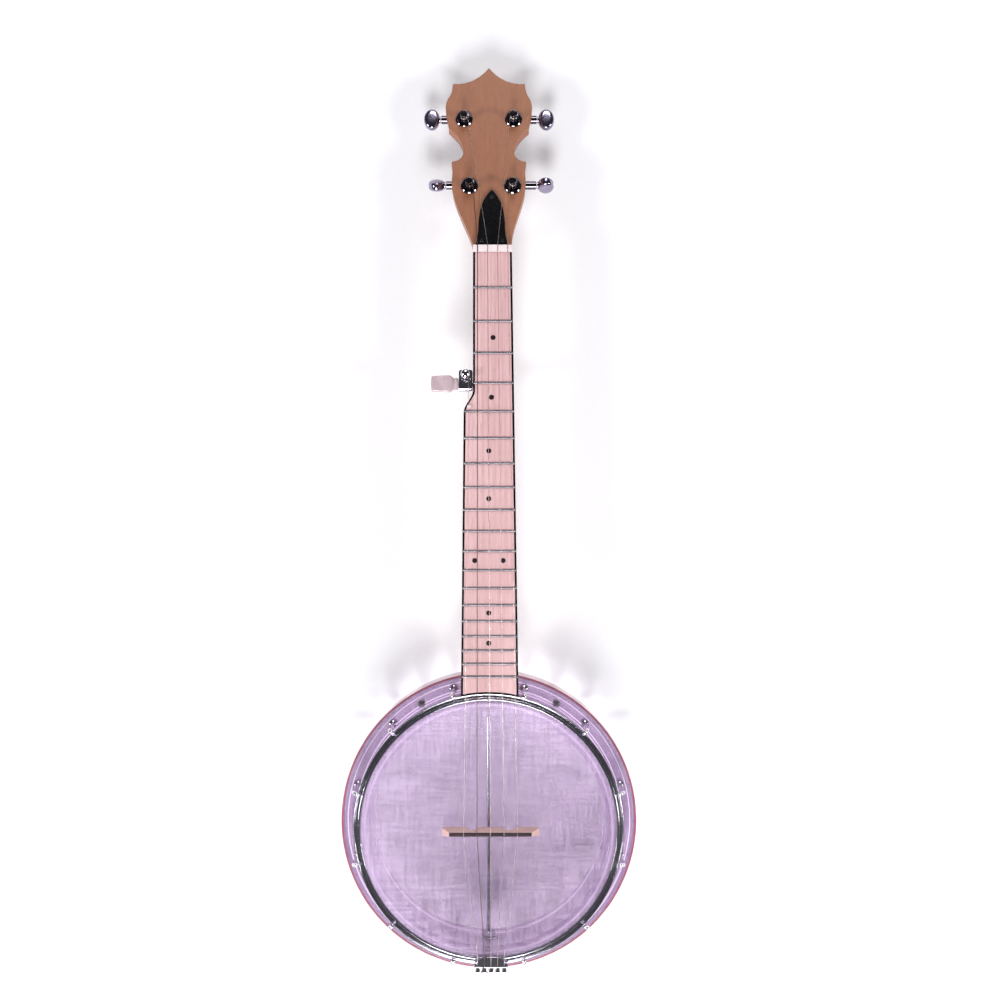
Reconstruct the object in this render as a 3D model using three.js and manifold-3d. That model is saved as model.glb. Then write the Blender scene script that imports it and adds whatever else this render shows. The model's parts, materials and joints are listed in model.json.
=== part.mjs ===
// Five-string short-scale banjo with a see-through pot and resonator.
// It lies on its back: +Z comes out of the drum head, +Y runs along the neck to the headstock,
// +X is to the right seen from the front. The origin is on the pot's axis, on the resonator's back.
// All lengths are in millimetres.

import * as THREE from 'three';
import { mergeVertices } from 'three/addons/utils/BufferGeometryUtils.js';
import Module from 'manifold-3d';

const wasm = await Module();
wasm.setup();

// Clearances that several pieces share
const seat = 0.3; // air left where one piece rests on or against another
const runningGap = 0.15; // radial air round a shaft that turns
const overrun = 2; // how far a cutting shape runs past the face that it cuts
const weld = 0.0001; // corners closer than this are one corner

// Pot, from the back up
const potSegments = 48;
const holeSegments = 8;
const resonatorWall = 3;
const resonatorDepth = 27.2;
const resonatorCorner = 6;
const flangeThickness = 3.5;
const rimRadius = 100;
const rimWall = 7;
const rimFloorGap = 9; // under the rim's lower edge, inside the resonator
const rimRise = 30.2; // flange to bearing edge
const bearingWidth = 2.6;
const bearingBevel = 3.2;
const headFilm = 0.4;
const headSkirt = 12.4; // drum head to the lower end of its skirt
const headBend = 1.6;
const collarWall = 1.4;
const collarHeight = 5;
const hoopWidth = 5.3;
const hoopHeight = 7.7;
const hoopDrop = 0.9; // drum head down to the hoop's inner lip
const hoopGrooveDepth = 2.6;
const hoopGrooveWidth = 2.4;
const hoopOuterLip = 1.1; // wall left outside the groove
const hoopLipDrop = 0.8; // outer lip below the inner one
const hoopRound = 0.8;

// Hooks that pull the hoop down, and their nuts under the flange
const hookCount = 12;
const hookSide = 1.5; // between the hoop and a hook's shank
const hookThickness = 3.4;
const hookSides = 6;
const hookTail = 8; // shank below the nut
const hookNutAcross = 7;
const hookNutHeight = 7;
const hookHoleGap = 0.4;
const flangeEdge = 9.5; // a hook's middle to the flange's edge
const hookBendRise = 0.5; // air between the hoop's outer lip and the claw
const hookTipRadius = 0.75;
const hookBendSteps = 5;
const hookSlimStartShare = 0.4; // of the bend, where the claw starts to thin

// Screws that hold the resonator
const screwInset = 1; // screws stand this much nearer the rim than the hooks
const resonatorScrewAngles = [30, 150, 210, 330];
const resonatorScrewRadius = 1.6;
const resonatorScrewHeadRadius = 3;
const resonatorScrewHeadHeight = 1.8;
const resonatorScrewLength = 16;
const resonatorBossWall = 2.6;

// Rod across the pot and the bolt into the neck
const rodRise = 7; // rod's axis above the flange
const rodRadius = 2.1;
const rodBlockAcross = 8;
const rodBlockLength = 8;
const rodBlockBore = 6;
const rodCrossHoleRadius = 0.8;
const rodCrossHolePlace = 17;
const rodEndProud = 8.5; // rod outside the rim at the tail
const neckBoltRadius = 1.9;
const neckBoltReach = 18; // into the heel, from the rim's outer wall
const tailNutAcross = 9.6;
const tailNutHeight = 4.6;
const tailWasherRadius = 7.3;
const tailWasherThickness = 1.6;
const boltGap = 0.3;

// Tailpiece and its hanger
const tailOffset = 1.85; // the strings' middle, to the right of the pot axis
const tailWidth = 27.5;
const tailThickness = 1.6;
const tailFrontInset = 0.7; // its front edge, inside the rim's outer wall
const tailPlatePast = 1.7; // the prongs' roots, beyond the hoop
const tailProngLength = 5.8;
const tailLift = 0.9; // plate over the drum head
const tailNoseDrop = 0.5;
const tailProngWidth = 3.4;
const tailProngCurl = 2.6; // how far a prong's tip turns down
const tailProngPitch = 5.2;
const hangerThickness = 1.8;
const hangerWidth = 12;
const hangerFloorGap = 1; // under the strap, over the flange
const hangerShelfDrop = 2; // shelf under the head collar
const hangerBoltRadius = 1.5;
const hangerBoltPast = 9; // its upright bolt, beyond the rim
const hangerShelfPast = 3;
const tailBossRadius = 2.3;
const tailBossHeight = 3;

// Bridge
const bridgePlace = -1.3;
const bridgeOffset = 1.5;
const bridgeFootSpan = 76;
const bridgeTopSpan = 64;
const bridgeHeight = 12;
const bridgeFootWidth = 19;
const bridgeFootHeight = 2.2;
const bridgeArch = 4.6;
const bridgeBase = 6.4; // thickness at the feet
const bridgeCapThickness = 3.2;
const bridgeCapHeight = 2;
const bridgeCapCrown = 1.6;
const bridgeSlot = 0.4;
const bridgeRest = 0.25; // air under a string in its slot

// Neck
const neckPitch = THREE.MathUtils.degToRad(1); // leans back from the drum head
const neckRise = 5.07; // its top plane over the hoop, measured at the pot's axis
const lastFretToRim = 20.454; // room that the neck has past its last fret
const nutWidth = 5.4;
const nutRise = 1.7; // nut above the fingerboard
const nutSlot = 0.6; // depth of a string's slot
const slotSide = 0.25; // air at each side of a string in its slot
const neckLeftAtNut = -12.2;
const neckRightAtNut = 18.2;
const neckLeftAtPeg = -19.5; // just below the fifth peg's shoulder
const neckLeftAtPot = -21.5;
const neckRightAtPot = 23.4;
const shoulderPastPeg = 12.4; // the fifth peg's post to the start of the shoulder below it
const shoulderLength = 17.2;
const neckDepthAtNut = 14.5;
const neckDepthAtHeel = 17;
const neckRoundShare = 0.8; // 1 is a round back, less is squarer
const neckSectionPoints = 10;
const heelSteps = 7;
const heelLength = 58; // rim to where the heel starts to deepen
const heelCapLength = 20; // next to the rim the heel has its full depth
const heelDepth = 33.5;
const heelReachIn = 14; // wood past the rim's wall before it is cut to fit
const hoopSide = 0.6; // between the hoop and the end of the fingerboard
const throatHeight = 3.5; // how far the neck's relief reaches below the collar

// Fingerboard
const boardThickness = 4.8;
const scaleLength = 498.5;
const fretCount = 19;
const fretWidth = 2;
const fretHeight = 1;
const fretCrown = 0.8; // width of a fret's top
const fretTang = 0.5;
const bindingWidth = 1.5;
const bindingGap = 0.15;
const boardEndSteps = 6;
const shoulderSteps = 5;

// Truss rod in its channel, and the cover over its nut
const trussRodRadius = 2.2;
const trussChannelWidth = 6.4;
const trussChannelDepth = 8.2;
const trussInset = 14; // rim to the truss rod's end
const trussEndPast = 13; // beyond the nut, in the headstock
const trussNutAcross = 4.6;
const trussNutLength = 9;
const trussNutGap = 2;
const coverLength = 46.6;
const coverHalfWidth = 12.75;
const coverThickness = 1.8;
const coverOffset = 2.4;
const outlineSteps = 5; // flats per curve of the cover and the headstock
const coverOutlineShares = {
  flare: [[0.93, 0.09], [0.84, 0.18], [0.83, 0.3]],
  arch: [[0.82, 0.6], [0.63, 0.82], [0, 1]],
};

// Headstock
const headAngle = THREE.MathUtils.degToRad(10); // leans back from the neck
const headThickness = 12.5;
const headLength = 154;
const headHalfWidth = 35;
const headGap = 0.3; // nut to headstock
const headBlend = 15; // neck's back runs on under the headstock
const headBlendInset = 0.8; // where it ends it stays this far inside the headstock
// One side of its outline as curves: two guiding points and an end each, as shares of the
// half width and the length.
const headOutlineShares = {
  bout: [[0.53, 0.1], [0.86, 0.21], [0.84, 0.35]],
  waist: [[0.83, 0.4], [0.81, 0.42], [0.857, 0.462]],
  notch: [[0.51, 0.462], [0.47, 0.545], [0.931, 0.624]],
  upperBout: [[0.911, 0.69], [1.071, 0.753], [0.94, 0.82]],
  ear: [[0.857, 0.85], [0.834, 0.877], [0.834, 0.909]],
  crown: [[0.514, 0.903], [0.229, 0.932], [0, 1]],
};

// Fifth string's pip
const pipOffset = -15.3;
const pipFret = 5; // the pip stands beside this fret
const pipBeforeFret = 3.75; // pip to its fret, on the nut's side
const pipHeadRadius = 1.5;
const pipHeadHeight = 1.9;
const pipStemRadius = 0.8;
const pipStemDepth = 2;
const pipHoleGap = 0.2;

// Headstock tuners: a button turns a worm, the worm turns the wheel on the string post
const upperTunerSideShare = 0.5657; // of the headstock's half width
const upperTunerShare = 0.6961; // of the headstock's length
const lowerLeftTunerSideShare = 0.44;
const lowerRightTunerSideShare = 0.5428;
const lowerTunerShare = 0.326;
const tuners = [
  { name: 'upper_left', sideShare: -upperTunerSideShare, share: upperTunerShare, buttonTurn: 0 },
  { name: 'upper_right', sideShare: upperTunerSideShare, share: upperTunerShare, buttonTurn: 0 },
  { name: 'lower_left', sideShare: -lowerLeftTunerSideShare, share: lowerTunerShare, buttonTurn: 55 },
  { name: 'lower_right', sideShare: lowerRightTunerSideShare, share: lowerTunerShare, buttonTurn: 85 },
].map((tuner) => ({ ...tuner, x: tuner.sideShare * headHalfWidth, y: tuner.share * headLength }));
const postRadius = 3;
const postWaist = 2.3;
const postHeight = 10.6; // above the headstock's face
const postWaistLow = 4.4;
const postWaistHigh = 8.4;
const postEdge = 0.7;
const postHoleRadius = 0.6;
const postSides = 12;
const boreSides = 20;
const bushingFlangeRadius = 6.9;
const bushingFlangeHeight = 1.3;
const bushingNutRadius = 5.2;
const bushingHeight = 3.2;
const bushingSleeveRadius = 4.3;
const bushingSleeveDepth = 8;
const bushingSides = 12;
const housingDepth = 11.4;
const housingWall = 1.6;
const housingSides = 14;
const sleeveRadius = 3.4;
const sleeveFlare = 0.9;
const sleeveReach = 19; // post axis to the sleeve's end
const buttonStart = 20.3; // post axis to the button
const buttonLength = 13;
const buttonWidth = 17.2;
const buttonThickness = 8;
const buttonEdge = 1.6;
const buttonCollarRadius = 2.9;
const buttonCollarLength = 1.4;
const buttonSides = 12;
const earRadius = 2.6;
const earThickness = 2;
const earHoleRadius = 1;

// Worm drives: the worm's axial pitch, the distance between the two axes, the shaft's radius,
// the wheel's width, its teeth and the worm's turns
const tunerPitch = 2.4;
const tunerCentres = 8.5;
const tunerShaftRadius = 1.9;
const tunerWheelWidth = 3.2;
const tunerDrive = {
  pitch: tunerPitch,
  centres: tunerCentres,
  shaft: tunerShaftRadius,
  wheelWidth: tunerWheelWidth,
  teeth: 15,
  turns: 2.6,
};
const pegPitch = 2;
const pegCentres = 6.2;
const pegShaftRadius = 1.6;
const pegWheelWidth = 2.8;
const pegDrive = {
  pitch: pegPitch,
  centres: pegCentres,
  shaft: pegShaftRadius,
  wheelWidth: pegWheelWidth,
  teeth: 12,
  turns: 2.4,
};
const flankAngle = THREE.MathUtils.degToRad(20);
const backlashShare = 0.13; // of the pitch, taken off each tooth and off the thread
const addendumShare = 0.25;
const dedendumShare = 0.36;
const threadSunkShare = 0.85; // of the shaft's radius: where a thread starts
const threadSteps = 10; // flats per turn
const cavityGap = 0.5; // between the teeth and the housing

// Fifth peg at the neck's side
const pegToPip = 25.1; // post to pip
const pegOffset = -18.1;
const pegBodyWidth = 10.8;
const pegBodyAbove = 4.4; // past the post axis
const pegBodyBelow = 12.4;
const pegBodyHeight = 11;
const pegAxisDepth = 13; // shaft axis under the fingerboard's top
const pegPostRadius = 2;
const pegPostWaist = 1.8;
const pegCapRadius = 3.4;
const pegCapHeight = 2.6;
const pegPostRise = 8; // post's top over the fingerboard
const pegPlugRadius = 3;
const pegPlugLength = 9;
const pegButtonStart = 5; // body to button, the collar's length
const pegButtonLength = 18.6;
const pegButtonWidth = 14.4;
const pegButtonThickness = 7;
const pegCollarRadius = 5.2;
const pegCollarTaper = 2.1;
const pegBossRadius = 3.6;

// Strings, the first at the right. The fifth has no place on the nut: it bends at its pip.
const thinString = 0.3;
const secondString = 0.34;
const thirdString = 0.4;
const woundString = 0.56;
const nutStringRight = 15;
const nutStringPitch = 7.87;
const bridgeStringRight = 22.5;
const bridgeStringPitch = 10.45;
const strings = [
  { thickness: thinString, post: 'lower_right' },
  { thickness: secondString, post: 'upper_right' },
  { thickness: thirdString, post: 'upper_left' },
  { thickness: woundString, post: 'lower_left' },
  { thickness: thinString, post: 'fifth_peg' },
].map((string, i, all) => ({
  ...string,
  name: `string_${i + 1}`,
  nut: nutStringRight - i * nutStringPitch,
  bridge: bridgeStringRight - i * bridgeStringPitch,
  prong: (all.length - 1) / 2 - i,
}));
const stringSides = 5;
const stringRest = 0.12; // air under a string where it bears
const windTurns = 2.5;
const windSteps = 10; // flats per turn
const windPitch = 1;
const windGap = 0.26; // between a winding and its post

// Heights, radii and places that follow from the sizes above
const flangeTop = resonatorDepth + seat + flangeThickness;
const bearingTop = flangeTop + rimRise;
const headTop = bearingTop + seat + headFilm;
const hoopTop = headTop - hoopDrop;
const hoopBottom = hoopTop - hoopHeight;
const collarTop = hoopBottom - seat;
const collarBottom = collarTop - collarHeight;
const skirtOuterRadius = rimRadius + seat + headFilm;
const collarInnerRadius = skirtOuterRadius + seat;
const hoopOuterRadius = collarInnerRadius + hoopWidth;
const hookRadius = hoopOuterRadius + hookSide + hookThickness / 2;
const resonatorRadius = hookRadius + flangeEdge;
const resonatorScrewCircle = hookRadius - screwInset;
const tailFrontReach = rimRadius - tailFrontInset;
const tailPlateReach = hoopOuterRadius + tailPlatePast;
const tailProngReach = tailPlateReach + tailProngLength;
const hangerBoltReach = rimRadius + hangerBoltPast;
const rimBottom = resonatorWall + rimFloorGap;
const rodHeight = flangeTop + rodRise;
const tailpieceBottom = headTop + tailLift;
const neckTopAtAxis = hoopTop + neckRise;
const nutFront = rimRadius + lastFretToRim + scaleLength - fretToBridge(fretCount);
const nutBack = nutFront + nutWidth;
const headStart = nutBack + headGap;
const boardFront = nutFront - seat;
const boardEndRadius = hoopOuterRadius + hoopSide;
const heelStart = rimRadius + heelLength;
const heelCap = rimRadius + heelCapLength;
const trussStart = rimRadius + trussInset;
const pipPlace = fretPlace(pipFret) + pipBeforeFret;
const pegPlace = pipPlace + pegToPip;
const shoulderTop = pegPlace - shoulderPastPeg;

// The string left beyond a fret, and the fret's place along the neck
function fretToBridge(number) {
  return scaleLength * 2 ** (-number / 12);
}

function fretPlace(number) {
  return nutFront - scaleLength + fretToBridge(number);
}

// Finishes
const finishes = {
  clearPlastic: { color: 0xc8b4dc, roughness: 0.12, metalness: 0, opacity: 0.45, transparent: true },
  film: { color: 0xe6dcef, roughness: 0.15, metalness: 0, opacity: 0.25, transparent: true },
  chrome: { color: 0xb9b4c4, roughness: 0.12, metalness: 1 },
  aluminium: { color: 0xa9a6b0, roughness: 0.35, metalness: 1 },
  steel: { color: 0x8d8a92, roughness: 0.4, metalness: 1 },
  maple: { color: 0xa87157, roughness: 0.4, metalness: 0 },
  boardMaple: { color: 0xd3a5a6, roughness: 0.5, metalness: 0 },
  bridgeMaple: { color: 0xd9b27c, roughness: 0.55, metalness: 0 },
  ebony: { color: 0x241c1f, roughness: 0.45, metalness: 0 },
  blackPlastic: { color: 0x121013, roughness: 0.3, metalness: 0 },
  bone: { color: 0xeee3e4, roughness: 0.4, metalness: 0 },
  pearl: { color: 0xc6acb6, roughness: 0.25, metalness: 0 },
  wire: { color: 0xb8b0b6, roughness: 0.3, metalness: 1 },
};

// Turning shapes into solids that can be cut and joined, and back

function solidOf(geometry) {
  const bare = new THREE.BufferGeometry();
  bare.setAttribute('position', geometry.getAttribute('position').clone());
  if (geometry.index) bare.setIndex(geometry.index.clone());
  const merged = mergeVertices(bare, weld);
  const corners = merged.index.array;
  const triangles = [];
  for (let i = 0; i < corners.length; i += 3) {
    const [a, b, c] = [corners[i], corners[i + 1], corners[i + 2]];
    if (a !== b && b !== c && c !== a) triangles.push(a, b, c);
  }
  return new wasm.Manifold(new wasm.Mesh({
    numProp: 3,
    vertProperties: Float32Array.from(merged.getAttribute('position').array),
    triVerts: Uint32Array.from(triangles),
  }));
}

function geometryOf(solid) {
  const mesh = solid.getMesh();
  const geometry = new THREE.BufferGeometry();
  geometry.setAttribute('position', new THREE.BufferAttribute(Float32Array.from(mesh.vertProperties), 3));
  geometry.setIndex(Array.from(mesh.triVerts));
  geometry.computeVertexNormals();
  return geometry;
}

function join(...geometries) {
  return geometryOf(geometries.map(solidOf).reduce((sum, next) => sum.add(next)));
}

function cut(geometry, ...tools) {
  return geometryOf(tools.map(solidOf).reduce((rest, tool) => rest.subtract(tool), solidOf(geometry)));
}

// Basic forms

// A ring or disc turned about Z from [radius, height] corners.
function turned(profile, segments = potSegments) {
  const closes = profile[0][0] > 0;
  const loop = closes ? [...profile, profile[0]] : profile;
  let area = 0;
  loop.forEach(([r, z], i) => {
    const [r2, z2] = loop[(i + 1) % loop.length];
    area += r * z2 - r2 * z;
  });
  const ordered = area > 0 ? loop : [...loop].reverse();
  const lathe = new THREE.LatheGeometry(ordered.map(([r, z]) => new THREE.Vector2(r, z)), segments);
  return lathe.rotateX(Math.PI / 2);
}

function rod(radius, from, to, sides = postSides) {
  return turned([[0, from], [radius, from], [radius, to], [0, to]], sides);
}

// A hexagonal bar along Z, measured across its flats.
function hexBar(across, from, to) {
  return rod(across / Math.sqrt(3), from, to, 6);
}

function outlineOf(points) {
  return new THREE.Shape(points.map(([x, y]) => new THREE.Vector2(x, y)));
}

function plate(points, from, to) {
  const geometry = new THREE.ExtrudeGeometry(outlineOf(points), { depth: to - from, bevelEnabled: false });
  return geometry.translate(0, 0, from);
}

function block(low, high) {
  const size = high.map((value, axis) => value - low[axis]);
  const middle = high.map((value, axis) => (value + low[axis]) / 2);
  return new THREE.BoxGeometry(...size).translate(...middle);
}

// A route through listed points, one step to each, for tubes.
class Route extends THREE.Curve {
  constructor(points) {
    super();
    this.points = points;
  }

  getPoint(share, target = new THREE.Vector3()) {
    const place = share * (this.points.length - 1);
    const before = Math.min(Math.floor(place), this.points.length - 2);
    return target.copy(this.points[before]).lerp(this.points[before + 1], place - before);
  }

  getPointAt(share, target) {
    return this.getPoint(share, target);
  }

  getTangentAt(share, target = new THREE.Vector3()) {
    const last = this.points.length - 1;
    const here = Math.round(share * last);
    const way = (from, to) => this.points[to].clone().sub(this.points[from]).normalize();
    target.set(0, 0, 0);
    if (here > 0) target.add(way(here - 1, here));
    if (here < last) target.add(way(here, here + 1));
    return target.normalize();
  }
}

function tube(points, radius, sides) {
  const section = outlineOf(Array.from({ length: sides }, (_, i) => {
    const angle = (2 * Math.PI * i) / sides;
    return [radius * Math.cos(angle), radius * Math.sin(angle)];
  }));
  return new THREE.ExtrudeGeometry(section, { steps: points.length - 1, extrudePath: new Route(points) });
}

// A skin over like-ordered sections, closed by a flat fan at each end.
function loft(sections) {
  const count = sections[0].length;
  const positions = sections.flat(2);
  const index = [];
  for (let s = 0; s < sections.length - 1; s += 1) {
    for (let i = 0; i < count; i += 1) {
      const next = (i + 1) % count;
      const [a, b, c, d] = [s * count + i, s * count + next, (s + 1) * count + i, (s + 1) * count + next];
      index.push(a, c, b, b, c, d);
    }
  }
  const last = (sections.length - 1) * count;
  for (let i = 1; i < count - 1; i += 1) index.push(0, i, i + 1, last, last + i + 1, last + i);
  const geometry = new THREE.BufferGeometry();
  geometry.setAttribute('position', new THREE.Float32BufferAttribute(positions, 3));
  geometry.setIndex(index);
  return facesOut(geometry);
}

function facesOut(geometry) {
  const places = geometry.getAttribute('position');
  const index = geometry.index.array;
  const corner = (i) => new THREE.Vector3().fromBufferAttribute(places, index[i]);
  let volume = 0;
  for (let i = 0; i < index.length; i += 3) volume += corner(i).dot(corner(i + 1).cross(corner(i + 2)));
  if (volume < 0) {
    for (let i = 0; i < index.length; i += 3) [index[i + 1], index[i + 2]] = [index[i + 2], index[i + 1]];
  }
  return geometry;
}

function mix(from, to, share) {
  return from + (to - from) * share;
}

function eased(share) {
  const held = Math.min(Math.max(share, 0), 1);
  return held * held * (3 - 2 * held);
}

function around(count, make) {
  return Array.from({ length: count }, (_, i) => make((2 * Math.PI * i) / count, i));
}

// A hole or screw that stands on a circle round the pot's axis. The angle is from the neck.
function onCircle(geometry, radius, degrees) {
  const angle = THREE.MathUtils.degToRad(degrees);
  return geometry.translate(0, radius, 0).rotateZ(angle);
}

// Scene graph

const banjo = new THREE.Group();
banjo.name = 'banjo';
const neckFrame = new THREE.Group();
neckFrame.position.set(0, 0, neckTopAtAxis);
neckFrame.rotation.x = -neckPitch;
banjo.add(neckFrame);
const headFrame = new THREE.Group();
headFrame.position.set(0, headStart, 0);
headFrame.rotation.x = -headAngle;
neckFrame.add(headFrame);
banjo.updateMatrixWorld(true);

function add(parent, name, geometry, finish) {
  const mesh = new THREE.Mesh(geometry, new THREE.MeshStandardMaterial(finishes[finish]));
  mesh.name = name;
  parent.add(mesh);
  return mesh;
}

// Pot

function hookAngles() {
  return Array.from({ length: hookCount }, (_, i) => ((i + 0.5) * 360) / hookCount);
}

function buildRim() {
  const inner = rimRadius - rimWall;
  const flangeBottom = flangeTop - flangeThickness;
  const rim = turned([
    [inner, rimBottom],
    [rimRadius, rimBottom],
    [rimRadius, flangeBottom],
    [resonatorRadius, flangeBottom],
    [resonatorRadius, flangeTop],
    [rimRadius, flangeTop],
    [rimRadius, bearingTop - bearingWidth / 2],
    [rimRadius - bearingWidth / 2, bearingTop],
    [rimRadius - bearingWidth, bearingTop],
    [inner, bearingTop - bearingBevel],
  ]);
  const hookHole = hookThickness / 2 + hookHoleGap;
  const holes = hookAngles().map((angle) => onCircle(
    rod(hookHole, flangeBottom - overrun, flangeTop + overrun, holeSegments), hookRadius, angle));
  const screwHoles = resonatorScrewAngles.map((angle) => onCircle(
    rod(resonatorScrewRadius + seat, flangeBottom - overrun, flangeTop + overrun, holeSegments),
    resonatorScrewCircle, angle));
  const neckHole = rod(neckBoltRadius + boltGap, inner - overrun, rimRadius + overrun, holeSegments)
    .rotateX(-Math.PI / 2).translate(0, 0, rodHeight);
  const tailHole = towardsTail(rod(rodRadius + boltGap, inner - overrun, rimRadius + overrun, holeSegments))
    .translate(0, 0, rodHeight);
  return cut(rim, ...holes, ...screwHoles, neckHole, tailHole);
}

function buildResonator() {
  const inside = resonatorRadius - resonatorWall;
  const foot = resonatorRadius - resonatorCorner;
  const bend = (share) => Math.sin((share * Math.PI) / 2);
  const outerBend = [1 / 3, 2 / 3].map((share) => [
    foot + resonatorCorner * bend(share),
    resonatorCorner * (1 - bend(1 - share)),
  ]);
  const innerCorner = resonatorCorner - resonatorWall;
  const dish = turned([
    [0, 0],
    [foot, 0],
    ...outerBend,
    [resonatorRadius, resonatorCorner],
    [resonatorRadius, resonatorDepth],
    [inside, resonatorDepth],
    [inside, resonatorWall + innerCorner],
    [inside - innerCorner, resonatorWall],
    [0, resonatorWall],
  ]);
  const boreRadius = resonatorScrewRadius + seat;
  const bosses = resonatorScrewAngles.map((angle) => onCircle(
    rod(boreRadius + resonatorBossWall, resonatorWall / 2, resonatorDepth, postSides),
    resonatorScrewCircle, angle));
  const boreFloor = resonatorDepth - resonatorScrewLength;
  const bores = resonatorScrewAngles.map((angle) => onCircle(
    rod(boreRadius, boreFloor, resonatorDepth + overrun, holeSegments), resonatorScrewCircle, angle));
  return cut(join(dish, ...bosses), ...bores);
}

function buildHead() {
  const inner = skirtOuterRadius - headFilm;
  const skirtEnd = headTop - headSkirt;
  return turned([
    [0, headTop - headFilm],
    [inner - headBend, headTop - headFilm],
    [inner, headTop - headFilm - headBend],
    [inner, skirtEnd],
    [skirtOuterRadius, skirtEnd],
    [skirtOuterRadius, headTop - headBend],
    [skirtOuterRadius - headBend, headTop],
    [0, headTop],
  ]);
}

function buildCollar() {
  const outer = collarInnerRadius + collarWall;
  return turned([
    [collarInnerRadius, collarBottom],
    [outer, collarBottom],
    [outer, collarTop],
    [collarInnerRadius, collarTop],
  ]);
}

function buildHoop() {
  const outerLip = hoopTop - hoopLipDrop;
  const grooveOuter = hoopOuterRadius - hoopOuterLip;
  const grooveInner = grooveOuter - hoopGrooveWidth;
  return turned([
    [collarInnerRadius, hoopBottom],
    [hoopOuterRadius, hoopBottom],
    [hoopOuterRadius, outerLip - hoopRound],
    [hoopOuterRadius - hoopRound, outerLip],
    [grooveOuter, outerLip],
    [grooveOuter, hoopTop - hoopGrooveDepth],
    [grooveInner, hoopTop - hoopGrooveDepth],
    [grooveInner, hoopTop],
    [collarInnerRadius + hoopRound, hoopTop],
    [collarInnerRadius, hoopTop - hoopRound],
  ]);
}

// A hook stands at the neck side of the pot: its shank is straight, its claw bends in over the
// hoop's outer lip and thins towards the tip in the groove. The nut sits under the flange.
function buildHook() {
  const half = hookThickness / 2;
  const clawRadius = hoopOuterRadius - hoopOuterLip - hoopGrooveWidth / 2;
  const bendTop = hoopTop - hoopLipDrop + hookBendRise + half;
  const bendRadius = (hookRadius - clawRadius) / 2;
  const bendLow = bendTop - bendRadius;
  const nutTop = flangeTop - flangeThickness - seat;
  const stations = [{ out: hookRadius, z: nutTop - hookNutHeight - hookTail, radius: half }];
  for (let i = 0; i <= hookBendSteps; i += 1) {
    const angle = (Math.PI * i) / hookBendSteps;
    const slim = eased((i / hookBendSteps - hookSlimStartShare) / hookSlimStartShare);
    stations.push({
      out: hookRadius - bendRadius * (1 - Math.cos(angle)),
      z: bendLow + bendRadius * Math.sin(angle),
      radius: mix(half, hookTipRadius, slim),
    });
  }
  stations.push({ out: clawRadius, z: hoopTop - hoopGrooveDepth + seat, radius: hookTipRadius });
  const rodShape = loft(stations.map(({ out, z, radius }, i) => {
    const before = stations[Math.max(i - 1, 0)];
    const after = stations[Math.min(i + 1, stations.length - 1)];
    const way = Math.atan2(after.z - before.z, after.out - before.out);
    return around(hookSides, (angle) => [
      radius * Math.cos(angle),
      out - radius * Math.sin(angle) * Math.sin(way),
      z + radius * Math.sin(angle) * Math.cos(way),
    ]);
  }));
  const nut = hexBar(hookNutAcross, nutTop - hookNutHeight, nutTop).translate(0, hookRadius, 0);
  return join(rodShape, nut);
}

function buildResonatorScrew() {
  const headBottom = flangeTop + seat;
  const length = flangeThickness + resonatorScrewLength - seat;
  return turned([
    [0, flangeTop - length],
    [resonatorScrewRadius, flangeTop - length],
    [resonatorScrewRadius, headBottom],
    [resonatorScrewHeadRadius, headBottom],
    [resonatorScrewHeadRadius, headBottom + resonatorScrewHeadHeight / 2],
    [resonatorScrewHeadRadius / 2, headBottom + resonatorScrewHeadHeight],
    [0, headBottom + resonatorScrewHeadHeight],
  ], postSides);
}

// Where a flat piece rests inside the rim's curved wall, measured from the pot's axis.
function insideWall(halfWidth) {
  const inner = (rimRadius - rimWall) * Math.cos(Math.PI / potSegments);
  return Math.sqrt(inner * inner - halfWidth * halfWidth) - seat;
}

// A bar along Z is laid along Y, its +Z end towards the tail.
function towardsTail(geometry) {
  return geometry.rotateX(Math.PI / 2);
}

function buildRod() {
  const blockEnd = -insideWall(rodBlockAcross / 2);
  const rodEnd = rimRadius + rodEndProud;
  const bar = rod(rodRadius, blockEnd + rodBlockLength - seat, rodEnd);
  const end = cut(
    hexBar(rodBlockAcross, blockEnd, blockEnd + rodBlockLength),
    rod(neckBoltRadius + boltGap, blockEnd - overrun, blockEnd + rodBlockBore),
  );
  const crossHole = rod(rodCrossHoleRadius, -rodBlockAcross, rodBlockAcross, hookSides)
    .rotateY(Math.PI / 2).translate(0, 0, -rodCrossHolePlace);
  return towardsTail(cut(join(bar, end), crossHole)).translate(0, 0, rodHeight);
}

function buildNeckBolt() {
  const start = insideWall(rodBlockAcross / 2) - rodBlockBore + seat;
  return rod(neckBoltRadius, start, rimRadius + neckBoltReach).rotateX(-Math.PI / 2)
    .translate(0, 0, rodHeight);
}

function buildInnerNut() {
  const wall = insideWall(tailWasherRadius);
  const nutEnd = wall - tailWasherThickness - tailNutHeight;
  const washer = rod(tailWasherRadius, wall - tailWasherThickness, wall);
  const nut = hexBar(tailNutAcross, nutEnd, wall - tailWasherThickness / 2);
  const bore = rod(rodRadius + boltGap, nutEnd - overrun, wall + overrun);
  return towardsTail(cut(join(washer, nut), bore)).translate(0, 0, rodHeight);
}

function buildOuterNut() {
  const start = rimRadius + seat + hangerThickness + seat;
  const nut = hexBar(tailNutAcross, start, start + tailNutHeight);
  const bore = rod(rodRadius + boltGap, start - overrun, start + tailNutHeight + overrun);
  return towardsTail(cut(nut, bore)).translate(0, 0, rodHeight);
}

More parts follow.
